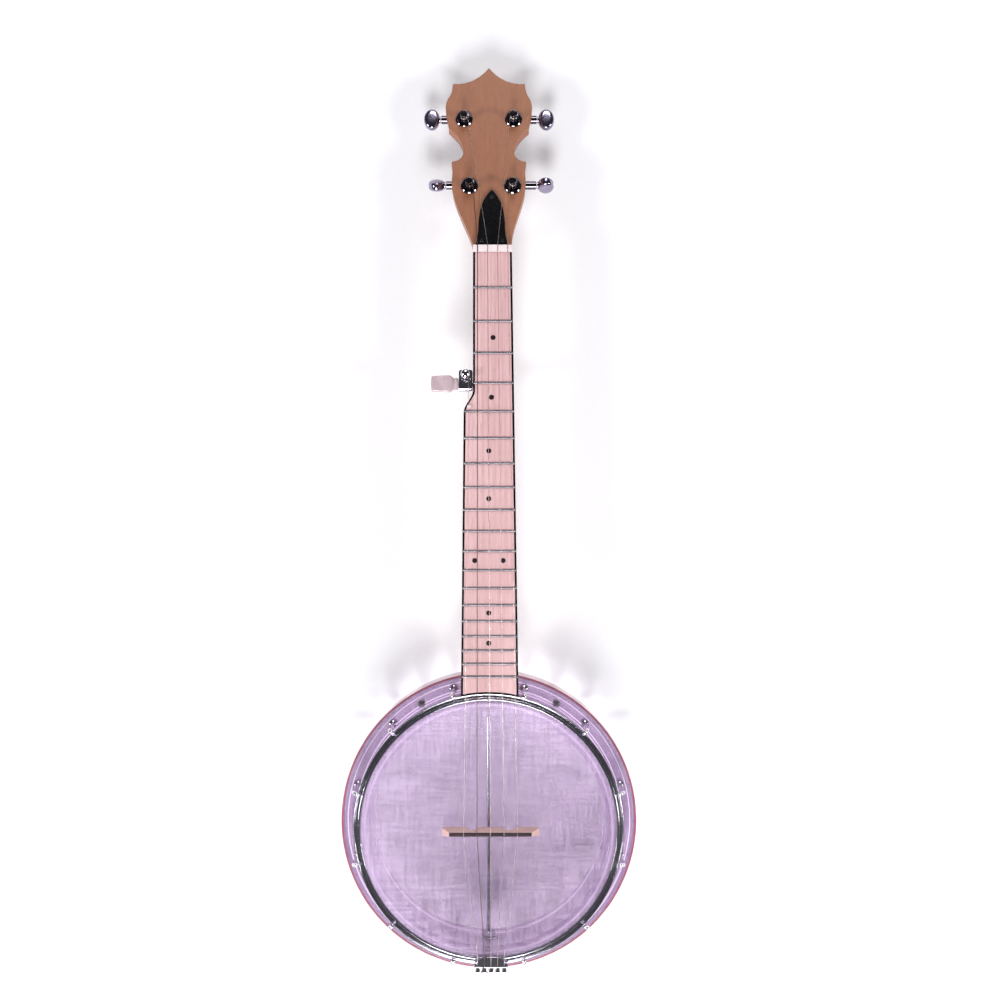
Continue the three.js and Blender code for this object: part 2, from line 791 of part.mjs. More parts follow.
// The hanger is a bent strap on the rod's end. Its shelf carries an upright bolt to the tailpiece.
function buildHanger() {
  const face = -(rimRadius + seat);
  const low = flangeTop + hangerFloorGap;
  const shelf = collarBottom - hangerShelfDrop;
  const shelfEnd = -(hangerBoltReach + hangerShelfPast);
  const half = hangerWidth / 2;
  const profile = [
    [face, low],
    [face, shelf],
    [shelfEnd, shelf],
    [shelfEnd, shelf - hangerThickness],
    [face - hangerThickness, shelf - hangerThickness],
    [face - hangerThickness, low],
  ];
  const strap = plate(profile, -half, half).rotateY(Math.PI / 2).rotateX(Math.PI / 2);
  const bolt = rod(hangerBoltRadius, shelf - hangerThickness / 2, tailpieceBottom - seat)
    .translate(tailOffset, -hangerBoltReach, 0);
  const bore = towardsTail(rod(rodRadius + boltGap, -face - overrun, -face + hangerThickness + overrun))
    .translate(0, 0, rodHeight);
  return cut(join(strap, bolt), bore);
}

// A [y, z] outline is drawn flat and stood up, so that its depth runs along X.
function buildTailpiece() {
  const bottom = tailpieceBottom;
  const top = bottom + tailThickness;
  const half = tailWidth / 2;
  const nose = tailFrontReach + tailThickness;
  const side = [
    [-tailFrontReach, bottom - tailNoseDrop],
    [-nose, bottom],
    [-tailPlateReach, bottom],
    [-tailProngReach + tailThickness, bottom],
    [-tailProngReach + tailThickness / 2, top - tailProngCurl - tailThickness / 2],
    [-tailProngReach, top - tailProngCurl],
    [-tailProngReach + tailThickness / 2, top - tailThickness / 4],
    [-tailPlateReach, top],
    [-nose, top],
    [-tailFrontReach, top - tailNoseDrop],
  ];
  const sheet = standUp(plate(side, -half, half)).translate(tailOffset, 0, 0);
  const gapHalf = (tailProngPitch - tailProngWidth) / 2;
  const gapSteps = Array.from({ length: strings.length + 1 }, (_, i) => i - strings.length / 2);
  const gaps = gapSteps.map((step) => block(
    [step * tailProngPitch - gapHalf, -tailProngReach - overrun, bottom - tailProngCurl - overrun],
    [step * tailProngPitch + gapHalf, -tailPlateReach, top + overrun],
  ).translate(tailOffset, 0, 0));
  const boss = rod(tailBossRadius, bottom - tailBossHeight, bottom + tailThickness / 2)
    .translate(tailOffset, -hangerBoltReach, 0);
  const bore = rod(hangerBoltRadius + boltGap, bottom - tailBossHeight - overrun, bottom)
    .translate(tailOffset, -hangerBoltReach, 0);
  return cut(join(cut(sheet, ...gaps), boss), bore);
}

// Turns a flat [a, b] drawing so that a runs along Y, b along Z and the thickness along X.
function standUp(geometry) {
  return geometry.rotateX(Math.PI / 2).rotateZ(Math.PI / 2);
}

// Turns a flat [a, b] drawing so that a runs along X, b along Z and the thickness along Y.
function standAcross(geometry) {
  return geometry.rotateX(Math.PI / 2);
}

function buildBridge() {
  const half = bridgeFootSpan / 2;
  const topHalf = bridgeTopSpan / 2;
  const middleHalf = bridgeFootWidth / 2;
  const archStart = half - bridgeFootWidth;
  const archMiddle = (archStart + middleHalf) / 2;
  const right = [
    [middleHalf, 0],
    [middleHalf, bridgeFootHeight],
    [archMiddle, bridgeArch + bridgeFootHeight],
    [archStart, bridgeFootHeight],
    [archStart, 0],
    [half, 0],
    [half, bridgeFootHeight],
    [topHalf, bridgeHeight],
  ];
  const left = right.map(([x, z]) => [-x, z]).reverse();
  const geometry = standAcross(plate([...right, ...left], -bridgeBase / 2, bridgeBase / 2));
  const slimShare = 1 - bridgeCapThickness / bridgeBase;
  const places = geometry.getAttribute('position');
  for (let i = 0; i < places.count; i += 1) {
    places.setY(i, places.getY(i) * (1 - (slimShare * places.getZ(i)) / bridgeHeight));
  }
  return geometry.translate(bridgeOffset, bridgePlace, headTop + seat);
}

function bridgeTop() {
  return headTop + seat + bridgeHeight + seat + bridgeCapHeight;
}

function buildBridgeCap() {
  const half = bridgeTopSpan / 2;
  const bottom = bridgeTop() - bridgeCapHeight;
  const cap = standUp(plate([
    [-bridgeCapThickness / 2, bottom],
    [bridgeCapThickness / 2, bottom],
    [bridgeCapCrown / 2, bridgeTop()],
    [-bridgeCapCrown / 2, bridgeTop()],
  ], -half, half)).translate(bridgeOffset, bridgePlace, 0);
  const reach = bridgeCapThickness;
  const slots = strings.map(({ bridge, thickness }) => block(
    [bridge - thickness / 2 - slotSide, bridgePlace - reach, bridgeTop() - bridgeSlot],
    [bridge + thickness / 2 + slotSide, bridgePlace + reach, bridgeTop() + overrun]));
  return cut(cap, ...slots);
}

// Neck

function neckLeft(y) {
  const shoulderShare = eased((shoulderTop - y) / shoulderLength);
  if (shoulderShare < 1) return mix(neckLeftAtNut, neckLeftAtPeg, shoulderShare);
  const below = shoulderTop - shoulderLength;
  return mix(neckLeftAtPeg, neckLeftAtPot, Math.min((below - y) / (below - rimRadius), 1));
}

function neckRight(y) {
  return mix(neckRightAtNut, neckRightAtPot, Math.min((nutBack - y) / (nutBack - rimRadius), 1));
}

function neckDepth(y) {
  if (y > heelStart) return mix(neckDepthAtHeel, neckDepthAtNut, (y - heelStart) / (nutBack - heelStart));
  return mix(neckDepthAtHeel, heelDepth, eased((heelStart - y) / (heelStart - heelCap)));
}

// One section of the neck: flat on top, rounded below.
function neckSection(y, top, depth, left = neckLeft(y), right = neckRight(y)) {
  const half = (right - left) / 2;
  const bow = (value) => Math.sign(value) * Math.abs(value) ** neckRoundShare;
  return Array.from({ length: neckSectionPoints + 1 }, (_, i) => {
    const angle = (Math.PI * i) / neckSectionPoints;
    return [left + half - half * bow(Math.cos(angle)), y, top - depth * bow(Math.sin(angle))];
  });
}

// One side of an outline, from its start through a set of curves. Shares become lengths by the
// given half width, which is negative on the left, and length.
function curvedSide(start, curves, halfWidth, length) {
  const points = [[start, 0]];
  Object.values(curves).forEach((curve) => {
    const corners = [points[points.length - 1], ...curve.map(([x, y]) => [x * halfWidth, y * length])];
    const bezier = new THREE.CubicBezierCurve(...corners.map(([x, y]) => new THREE.Vector2(x, y)));
    points.push(...bezier.getPoints(outlineSteps).slice(1).map((point) => [point.x, point.y]));
  });
  return points;
}

function headstockOutline() {
  const right = curvedSide(neckRightAtNut, headOutlineShares, headHalfWidth, headLength);
  const left = curvedSide(neckLeftAtNut, headOutlineShares, -headHalfWidth, headLength);
  return [...right, ...left.reverse().slice(1)];
}

// The pot's room in the neck's frame: the rim's wall below, the hoop, collar and head above.
function potRoom() {
  const far = 2 * heelDepth;
  const room = join(
    rod(rimRadius + seat, -far, far * 2, potSegments),
    rod(boardEndRadius, collarBottom - throatHeight, far * 2, potSegments),
    rod(resonatorRadius + overrun, -far, flangeTop + seat, potSegments),
  );
  return room.applyMatrix4(neckFrame.matrixWorld.clone().invert());
}

function buildNeck() {
  const shoulderEnd = shoulderTop - shoulderLength;
  const shoulder = Array.from({ length: shoulderSteps + 1 }, (_, i) =>
    shoulderTop - (shoulderLength * i) / shoulderSteps);
  const heel = Array.from({ length: heelSteps + 1 }, (_, i) => mix(heelStart, heelCap, i / heelSteps));
  const heelFoot = rimRadius - heelReachIn;
  const places = [nutBack, ...shoulder, (shoulderEnd + heelStart) / 2, ...heel, heelFoot];
  const blendTop = -(headBlend * Math.tan(headAngle)) - seat;
  const blendDepth = headThickness / Math.cos(headAngle) - headBlendInset;
  const shaft = loft([
    neckSection(headStart + headBlend, blendTop, blendDepth, neckLeftAtNut, neckRightAtNut),
    ...places.map((y) => neckSection(y, 0, neckDepth(y))),
  ]);
  const headstock = plate(headstockOutline(), -headThickness, 0).applyMatrix4(headFrame.matrix);
  const channel = block(
    [-trussChannelWidth / 2, trussStart, -trussChannelDepth],
    [trussChannelWidth / 2, headStart + trussEndPast, overrun],
  ).translate(coverOffset, 0, 0);
  const bushingHole = bushingSleeveRadius + seat;
  const postHoles = tuners.map(({ x, y }) => rod(bushingHole, -headThickness - overrun, overrun)
    .translate(x, y, 0).applyMatrix4(headFrame.matrix));
  const pegHole = rod(pegPlugRadius + seat, -overrun, pegPlugLength + seat)
    .rotateY(Math.PI / 2)
    .translate(neckLeft(pegPlace), pegShaftPlace(), boardThickness - pegAxisDepth);
  const boltHole = rod(neckBoltRadius + boltGap, rimRadius - overrun, rimRadius + neckBoltReach + seat)
    .rotateX(-Math.PI / 2).translate(0, 0, rodHeight)
    .applyMatrix4(neckFrame.matrixWorld.clone().invert());
  return cut(join(shaft, headstock), channel, ...postHoles, pegHole, boltHole, potRoom());
}

// The fingerboard's outline, drawn in by the inset along its sides and its pot end.
function boardOutline(inset) {
  const radius = boardEndRadius + inset;
  const sideEnd = (x) => Math.sqrt(radius * radius - x * x);
  const rightEnd = neckRight(rimRadius) - inset;
  const leftEnd = neckLeft(rimRadius) + inset;
  const end = Array.from({ length: boardEndSteps + 1 }, (_, i) => {
    const x = mix(rightEnd, leftEnd, i / boardEndSteps);
    return [x, sideEnd(x)];
  });
  const shoulder = Array.from({ length: shoulderSteps + 1 }, (_, i) => {
    const y = shoulderTop - shoulderLength + (shoulderLength * i) / shoulderSteps;
    return [neckLeft(y) + inset, y];
  });
  return {
    right: [[neckRight(boardFront) - inset, boardFront]],
    end,
    left: [...shoulder, [neckLeft(boardFront) + inset, boardFront]],
  };
}

function buildFret(number, inset) {
  const y = fretPlace(number);
  const left = Math.max(neckLeft(y - fretWidth / 2), neckLeft(y + fretWidth / 2)) + inset;
  const right = Math.min(neckRight(y - fretWidth / 2), neckRight(y + fretWidth / 2)) - inset;
  const low = boardThickness - fretTang;
  const high = boardThickness + fretHeight;
  return standUp(plate([
    [y - fretWidth / 2, low],
    [y + fretWidth / 2, low],
    [y + fretWidth / 2, boardThickness],
    [y + fretCrown / 2, high],
    [y - fretCrown / 2, high],
    [y - fretWidth / 2, boardThickness],
  ], left, right));
}

function pipHole() {
  return rod(pipStemRadius + pipHoleGap, boardThickness - pipStemDepth - seat, boardThickness + overrun)
    .translate(pipOffset, pipPlace, 0);
}

function buildFingerboard() {
  const inset = bindingWidth + bindingGap;
  const { right, end, left } = boardOutline(inset);
  const board = plate([...right, ...end, ...left], seat, boardThickness);
  const endInset = inset + bindingGap;
  const frets = Array.from({ length: fretCount }, (_, i) => buildFret(i + 1, endInset));
  return cut(join(board, ...frets), pipHole());
}

function buildBinding() {
  const outer = boardOutline(0);
  const inner = boardOutline(bindingWidth);
  const inward = [...inner.right, ...inner.end, ...inner.left].reverse();
  return plate([...outer.right, ...outer.end, ...outer.left, ...inward], seat, boardThickness);
}

function buildNut() {
  const top = boardThickness + nutRise;
  const bar = block([neckLeftAtNut, nutFront, seat], [neckRightAtNut, nutBack, top]);
  const slots = strings.filter(({ post }) => post !== 'fifth_peg').map((string) => block(
    [string.nut - string.thickness / 2 - slotSide, nutFront - overrun, top - nutSlot],
    [string.nut + string.thickness / 2 + slotSide, nutBack + overrun, top + overrun]));
  return cut(bar, ...slots);
}

function buildTrussRod() {
  const low = trussChannelWidth / 2 - trussChannelDepth;
  const end = headStart + trussEndPast - trussNutGap;
  const bar = rod(trussRodRadius, trussStart + seat, end);
  const nut = hexBar(trussNutAcross, end - trussNutLength, end);
  return join(bar, nut).rotateX(-Math.PI / 2).translate(coverOffset, 0, low);
}

function buildTrussCover() {
  const right = curvedSide(coverHalfWidth, coverOutlineShares, coverHalfWidth, coverLength);
  const left = curvedSide(-coverHalfWidth, coverOutlineShares, -coverHalfWidth, coverLength);
  const outline = [...right, ...left.reverse().slice(1)];
  return plate(outline, seat, seat + coverThickness).translate(coverOffset, 0, 0);
}

function buildPip() {
  return turned([
    [0, boardThickness - pipStemDepth],
    [pipStemRadius, boardThickness - pipStemDepth],
    [pipStemRadius, boardThickness + seat],
    [pipHeadRadius, boardThickness + seat],
    [pipHeadRadius, boardThickness + pipHeadHeight],
    [0, boardThickness + pipHeadHeight],
  ], holeSegments).translate(pipOffset, pipPlace, 0);
}

// Worm drives. The wheel turns about Z at the origin, with a gap between two teeth on its +Y side.
// The worm lies along X at the drive's centre distance, and its thread stands in that gap.

function driveSizes({ teeth, pitch, centres }) {
  const wheelPitchRadius = (teeth * pitch) / (2 * Math.PI);
  const wormPitchRadius = centres - wheelPitchRadius;
  return {
    wheelPitchRadius,
    wormPitchRadius,
    wheelOuter: wheelPitchRadius + addendumShare * pitch,
    wheelRoot: wheelPitchRadius - dedendumShare * pitch,
    wormOuter: wormPitchRadius + addendumShare * pitch,
    wormRoot: wormPitchRadius - dedendumShare * pitch,
    toothHalf: (pitch / 2 - backlashShare * pitch) / 2,
  };
}

function buildWheel(drive) {
  const sizes = driveSizes(drive);
  const halfAngle = (radius) =>
    (sizes.toothHalf - (radius - sizes.wheelPitchRadius) * Math.tan(flankAngle)) / radius;
  const points = around(drive.teeth, (turn) => {
    const middle = turn + Math.PI / 2 + Math.PI / drive.teeth;
    return [[-1, sizes.wheelRoot], [-1, sizes.wheelOuter], [1, sizes.wheelOuter], [1, sizes.wheelRoot]]
      .map(([sign, radius]) => {
        const angle = middle + sign * halfAngle(radius);
        return [radius * Math.cos(angle), radius * Math.sin(angle)];
      });
  }).flat();
  const wheel = plate(points, -drive.wheelWidth / 2, drive.wheelWidth / 2);
  // The teeth lean by the worm's lead angle.
  const lead = drive.pitch / (2 * Math.PI * sizes.wormPitchRadius);
  const places = wheel.getAttribute('position');
  for (let i = 0; i < places.count; i += 1) {
    const lean = (places.getZ(i) * lead) / sizes.wheelPitchRadius;
    const [x, y] = [places.getX(i), places.getY(i)];
    places.setXY(i, x * Math.cos(lean) - y * Math.sin(lean), x * Math.sin(lean) + y * Math.cos(lean));
  }
  return wheel;
}

// The thread is a swept tooth section, sunk a little into the core that carries it.
function buildThread(drive) {
  const sizes = driveSizes(drive);
  const sunk = threadSunkShare * Math.min(sizes.wormRoot, drive.shaft);
  const halfAt = (radius) => sizes.toothHalf - (radius - sizes.wormPitchRadius) * Math.tan(flankAngle);
  const section = [[-1, sunk], [1, sunk], [1, sizes.wormOuter], [-1, sizes.wormOuter]];
  const steps = Math.round(drive.turns * threadSteps);
  return loft(Array.from({ length: steps + 1 }, (_, i) => {
    const turn = (2 * Math.PI * (i - steps / 2)) / threadSteps;
    const along = (drive.pitch * turn) / (2 * Math.PI);
    return section.map(([sign, radius]) => [
      along + sign * halfAt(radius),
      -radius * Math.cos(turn),
      -radius * Math.sin(turn),
    ]);
  }));
}

// Headstock tuners

function wormDepth() {
  return headThickness + seat + housingDepth / 2;
}

// A post and its wheel, on the post's axis, with the headstock's face at zero.
function buildPost() {
  const bottom = -(headThickness + seat + housingDepth - housingWall - cavityGap);
  const post = turned([
    [0, bottom],
    [postRadius, bottom],
    [postRadius, postWaistLow - postEdge],
    [postWaist, postWaistLow],
    [postWaist, postWaistHigh],
    [postRadius, postWaistHigh + postEdge],
    [postRadius, postHeight - postEdge],
    [postRadius - postEdge, postHeight],
    [0, postHeight],
  ], postSides);
  const hole = rod(postHoleRadius, -postRadius - overrun, postRadius + overrun, hookSides)
    .rotateY(Math.PI / 2).translate(0, 0, postWaistHigh - postHoleRadius);
  const wheel = buildWheel(tunerDrive).translate(0, 0, -wormDepth());
  return cut(join(post, wheel), hole);
}

// A button with its shaft and worm along X. The worm's middle is at zero.
function buttonOval(length, width, thickness, edge, sides) {
  const outline = new THREE.Shape(Array.from({ length: sides }, (_, i) => {
    const angle = (2 * Math.PI * (i + 0.5)) / sides;
    return new THREE.Vector2((length / 2 - edge) * Math.cos(angle), (width / 2 - edge) * Math.sin(angle));
  }));
  const body = new THREE.ExtrudeGeometry(outline, {
    depth: thickness - 2 * edge,
    bevelThickness: edge,
    bevelSize: edge,
    bevelSegments: 1,
  });
  return body.translate(0, 0, edge - thickness / 2);
}

function alongX(geometry) {
  return geometry.rotateY(Math.PI / 2);
}

function buildButton(turn) {
  const inner = -(driveSizes(tunerDrive).wheelOuter - cavityGap);
  const shaft = alongX(rod(tunerDrive.shaft, inner, buttonStart + buttonLength / 2));
  const collarStart = buttonStart - buttonCollarLength / 2;
  const collar = alongX(rod(buttonCollarRadius, collarStart, buttonStart + buttonCollarLength));
  const oval = buttonOval(buttonLength, buttonWidth, buttonThickness, buttonEdge, buttonSides)
    .translate(buttonStart + buttonLength / 2, 0, 0)
    .rotateX(THREE.MathUtils.degToRad(turn));
  return join(shaft, buildThread(tunerDrive), collar, oval);
}

// The cast housing is hollow round the wheel and the worm. Its sleeve carries the button's shaft.
function buildHousing(side) {
  const sizes = driveSizes(tunerDrive);
  const worm = tunerDrive.centres;
  const wheelRoom = sizes.wheelOuter + cavityGap;
  const wormRoom = sizes.wormOuter + cavityGap;
  const top = -(headThickness + seat);
  const bottom = top - housingDepth;
  const outer = wheelRoom + housingWall;
  const wormOuter = wormRoom + housingWall;
  const pod = rod(outer, bottom, top, housingSides);
  const wormBox = block([-outer, 0, bottom], [outer, worm + wormOuter, top]);
  const sleeve = alongX(turned([
    [0, outer - housingWall],
    [sleeveRadius + sleeveFlare, outer - housingWall],
    [sleeveRadius, outer + sleeveFlare * 2],
    [sleeveRadius, sleeveReach],
    [0, sleeveReach],
  ], postSides)).translate(0, worm, -wormDepth());
  const ear = rod(earRadius, top - earThickness, top, holeSegments).translate(0, -outer - earRadius / 2, 0);
  const earHole = rod(earHoleRadius, top - earThickness - overrun, top + overrun, hookSides)
    .translate(0, -outer - earRadius / 2, 0);
  const wheelCavity = rod(wheelRoom, bottom + housingWall, top - housingWall, housingSides);
  const wormCavity = alongX(rod(wormRoom, -wheelRoom, wheelRoom, postSides))
    .translate(0, worm, -wormDepth());
  const postBore = rod(postRadius + runningGap, top - housingWall - overrun, top + overrun, boreSides);
  const shaftBore = alongX(rod(tunerDrive.shaft + runningGap, 0, sleeveReach + overrun, boreSides))
    .translate(0, worm, -wormDepth());
  const right = cut(join(pod, wormBox, sleeve, ear), earHole, wheelCavity, wormCavity, postBore, shaftBore);
  return side > 0 ? right : mirrored(right);
}

function mirrored(geometry) {
  const copy = geometry.clone();
  const places = copy.getAttribute('position');
  for (let i = 0; i < places.count; i += 1) places.setX(i, -places.getX(i));
  return facesOut(copy);
}

function buildBushing() {
  return turned([
    [postRadius + runningGap, -bushingSleeveDepth],
    [bushingSleeveRadius, -bushingSleeveDepth],
    [bushingSleeveRadius, seat],
    [bushingFlangeRadius, seat],
    [bushingFlangeRadius, bushingFlangeHeight / 2],
    [bushingNutRadius, bushingFlangeHeight],
    [bushingNutRadius - postEdge, bushingHeight],
    [postRadius + runningGap, bushingHeight],
  ], bushingSides);
}

// Fifth peg. Its frame has the post's axis along Z and the fingerboard's top at zero.

function pegShaftPlace() {
  return pegPlace - pegDrive.centres;
}

function buildPegHousing() {
  const sizes = driveSizes(pegDrive);
  const low = -pegAxisDepth - pegBodyHeight / 2;
  const high = -pegAxisDepth + pegBodyHeight / 2;
  const half = pegBodyWidth / 2;
  const body = block([-half, -pegBodyBelow, low], [half, pegBodyAbove, high]);
  const boss = rod(pegBossRadius, high - overrun / 2, -seat, postSides);
  const plug = alongX(rod(pegPlugRadius, half - overrun / 2, half + pegPlugLength))
    .translate(0, -pegDrive.centres, -pegAxisDepth);
  const wheelRoom = sizes.wheelOuter + cavityGap;
  const wheelTop = -pegAxisDepth + pegDrive.wheelWidth;
  const wheelCavity = rod(wheelRoom, -pegAxisDepth - pegDrive.wheelWidth, wheelTop);
  const wormCavity = alongX(rod(sizes.wormOuter + cavityGap, -half + housingWall, half - housingWall))
    .translate(0, -pegDrive.centres, -pegAxisDepth);
  const postBore = rod(pegPostRadius + runningGap, -pegAxisDepth, overrun, boreSides);
  const shaftBore = alongX(rod(pegDrive.shaft + runningGap, -half - overrun, 0, boreSides))
    .translate(0, -pegDrive.centres, -pegAxisDepth);
  return cut(join(body, boss, plug), wheelCavity, wormCavity, postBore, shaftBore);
}

function buildPegPost() {
  const bottom = -pegAxisDepth - pegDrive.wheelWidth + seat;
  const capLow = pegPostRise - pegCapHeight;
  const post = turned([
    [0, bottom],
    [pegPostRadius, bottom],
    [pegPostRadius, seat],
    [pegPostWaist, seat + postEdge],
    [pegPostWaist, capLow],
    [pegCapRadius - postEdge, capLow],
    [pegCapRadius, capLow + postEdge],
    [pegCapRadius, pegPostRise - postEdge],
    [pegCapRadius - postEdge * 2, pegPostRise],
    [0, pegPostRise],
  ], postSides);
  const wheel = buildWheel(pegDrive).rotateZ(Math.PI).translate(0, 0, -pegAxisDepth);
  return join(post, wheel);
}

function buildPegButton() {
  const half = pegBodyWidth / 2;
  const worm = buildThread(pegDrive).rotateX(Math.PI);
  const start = half + seat;
  const shaft = alongX(rod(pegDrive.shaft, -(half - housingWall - seat), start + pegButtonLength / 2));
  const collar = alongX(turned([
    [0, start],
    [pegCollarRadius - postEdge, start],
    [pegCollarRadius, start + pegButtonStart / 2],
    [pegCollarRadius - pegCollarTaper, start + pegButtonStart],
    [0, start + pegButtonStart],
  ], postSides));
  const oval = buttonOval(pegButtonLength, pegButtonWidth, pegButtonThickness, buttonEdge, buttonSides)
    .translate(start + pegButtonStart - buttonEdge + pegButtonLength / 2, 0, 0);
  return join(worm, shaft, collar, oval);
}

// Strings

function inNeck(x, y, z) {
  return new THREE.Vector3(x, y, z).applyMatrix4(neckFrame.matrixWorld);
}

function inHead(x, y, z) {
  return new THREE.Vector3(x, y, z).applyMatrix4(headFrame.matrixWorld);
}

// The loop end: over the plate, down one side of its prong, under it and up the other side.
function tailLoop(string) {
  const x = tailOffset + string.prong * tailProngPitch;
  const radius = string.thickness / 2;
  const top = tailpieceBottom + tailThickness;
  const over = top + stringRest + radius;
  const under = tailpieceBottom - seat - radius;
  const aside = tailProngWidth / 2 + stringRest + string.thickness / 2;
  const loopPlace = -(tailProngReach - tailThickness - radius - 2 * stringRest);
  const lean = string.thickness / 2 + stringRest;
  return [
    [x + aside, loopPlace, over],
    [x + aside, loopPlace, under],
    [x, loopPlace, under - radius],
    [x - aside, loopPlace, under],
    [x - aside, loopPlace, over - radius],
    [x - lean * 2, -tailPlateReach - lean, over],
    [x, -tailPlateReach + lean, over],
    [x, -tailFrontReach, over + stringRest],
  ].map((place) => new THREE.Vector3(...place));
}

// A winding about an upright axis: it starts where the string meets it and climbs to the post's hole.
function winding(place, centre, radius, low, onRight, toWorld) {
  const away = new THREE.Vector2(place.x - centre.x, place.y - centre.y);
  const spread = Math.acos(radius / away.length());
  const turnWay = onRight ? 1 : -1;
  const start = away.angle() + turnWay * spread;
  const steps = Math.round(windTurns * windSteps);
  return Array.from({ length: steps + 1 }, (_, i) => {
    const angle = start + (turnWay * 2 * Math.PI * i) / windSteps;
    const rise = (windPitch * i) / windSteps;
    return toWorld(centre.x + radius * Math.cos(angle), centre.y + radius * Math.sin(angle), low + rise);
  });
}

function leastGap(points, thickness) {
  let least = Infinity;
  points.forEach((a, i) => {
    const others = points.slice(i + windSteps / 2);
    least = Math.min(least, ...others.map((b) => a.distanceTo(b)));
  });
  return least - thickness;
}

function stringRoute(string) {
  const radius = string.thickness / 2;
  const bridgeRise = bridgeTop() - bridgeSlot + bridgeRest + radius;
  const overBridge = new THREE.Vector3(string.bridge, bridgePlace, bridgeRise);
  const start = [...tailLoop(string), overBridge];
  if (string.post === 'fifth_peg') {
    const pip = boardThickness + pipHeadHeight + 2 * stringRest + radius;
    const wind = winding(
      new THREE.Vector2(pipOffset, pipPlace),
      new THREE.Vector2(pegOffset, pegPlace),
      pegPostWaist + radius + windGap,
      boardThickness + seat + postEdge + radius, true, inNeck);
    return { points: [...start, inNeck(pipOffset, pipPlace, pip), ...wind], wind };
  }
  const tuner = tuners.find(({ name }) => name === string.post);
  const slot = boardThickness + nutRise - nutSlot + stringRest + radius;
  const wind = winding(
    new THREE.Vector2(string.nut, 0),
    new THREE.Vector2(tuner.x, tuner.y),
    postWaist + radius + windGap,
    postWaistLow + radius + stringRest, tuner.x < 0, inHead);
  const nut = [inNeck(string.nut, nutFront, slot), inNeck(string.nut, nutBack, slot)];
  return { points: [...start, ...nut, ...wind], wind };
}

// Assembly

add(banjo, 'resonator', buildResonator(), 'clearPlastic');
add(banjo, 'rim_and_flange', buildRim(), 'clearPlastic');
add(banjo, 'drum_head', buildHead(), 'film');
add(banjo, 'head_collar', buildCollar(), 'aluminium');
add(banjo, 'tension_hoop', buildHoop(), 'chrome');

const hook = buildHook();
hookAngles().forEach((angle, i) => {
  const mesh = add(banjo, `hook_and_nut_${String(i + 1).padStart(2, '0')}`, hook.clone(), 'chrome');
  mesh.rotation.z = THREE.MathUtils.degToRad(angle);
});

resonatorScrewAngles.forEach((angle, i) => {
  const screw = onCircle(buildResonatorScrew(), resonatorScrewCircle, angle);
  add(banjo, `resonator_screw_${i + 1}`, screw, 'steel');
});

add(banjo, 'coordinator_rod', buildRod(), 'chrome');
add(banjo, 'neck_bolt', buildNeckBolt(), 'steel');
add(banjo, 'rod_inner_nut', buildInnerNut(), 'chrome');
add(banjo, 'rod_outer_nut', buildOuterNut(), 'chrome');
add(banjo, 'tailpiece_hanger', buildHanger(), 'chrome');
add(banjo, 'tailpiece', buildTailpiece(), 'chrome');
add(banjo, 'bridge', buildBridge(), 'bridgeMaple');
add(banjo, 'bridge_cap', buildBridgeCap(), 'ebony');

add(neckFrame, 'neck', buildNeck(), 'maple');
add(neckFrame, 'fingerboard', buildFingerboard(), 'boardMaple');
add(neckFrame, 'fingerboard_binding', buildBinding(), 'blackPlastic');
add(neckFrame, 'nut', buildNut(), 'bone');
add(neckFrame, 'truss_rod', buildTrussRod(), 'steel');
add(neckFrame, 'fifth_string_pip', buildPip(), 'bone');
add(headFrame, 'truss_rod_cover', buildTrussCover(), 'blackPlastic');

tuners.forEach(({ name, x, y, buttonTurn }) => {
  const frame = new THREE.Group();
  frame.position.set(x, y, 0);
  headFrame.add(frame);
  add(frame, `tuner_housing_${name}`, buildHousing(Math.sign(x)), 'chrome');
  add(frame, `tuner_bushing_${name}`, buildBushing(), 'chrome');
  add(frame, `tuner_post_${name}`, buildPost(), 'chrome');
  const button = add(frame, `tuner_button_${name}`, buildButton(buttonTurn), 'chrome');
  button.position.set(0, tunerDrive.centres, -wormDepth());
  button.rotation.y = x > 0 ? 0 : Math.PI;
});

const pegFrame = new THREE.Group();
pegFrame.position.set(pegOffset, pegPlace, boardThickness);
neckFrame.add(pegFrame);
add(pegFrame, 'fifth_peg_housing', buildPegHousing(), 'chrome');
add(pegFrame, 'fifth_peg_post', buildPegPost(), 'chrome');
const pegButton = add(pegFrame, 'fifth_peg_button', buildPegButton(), 'pearl');
pegButton.position.set(0, -pegDrive.centres, -pegAxisDepth);
pegButton.rotation.y = Math.PI;

banjo.updateMatrixWorld(true);
strings.forEach((string) => {
  const { points, wind } = stringRoute(string);
  add(banjo, string.name, tube(points, string.thickness / 2, stringSides), 'wire');
  console.log(`${string.name}: least gap in its winding ${leastGap(wind, string.thickness).toFixed(2)} mm`);
});

export default banjo;
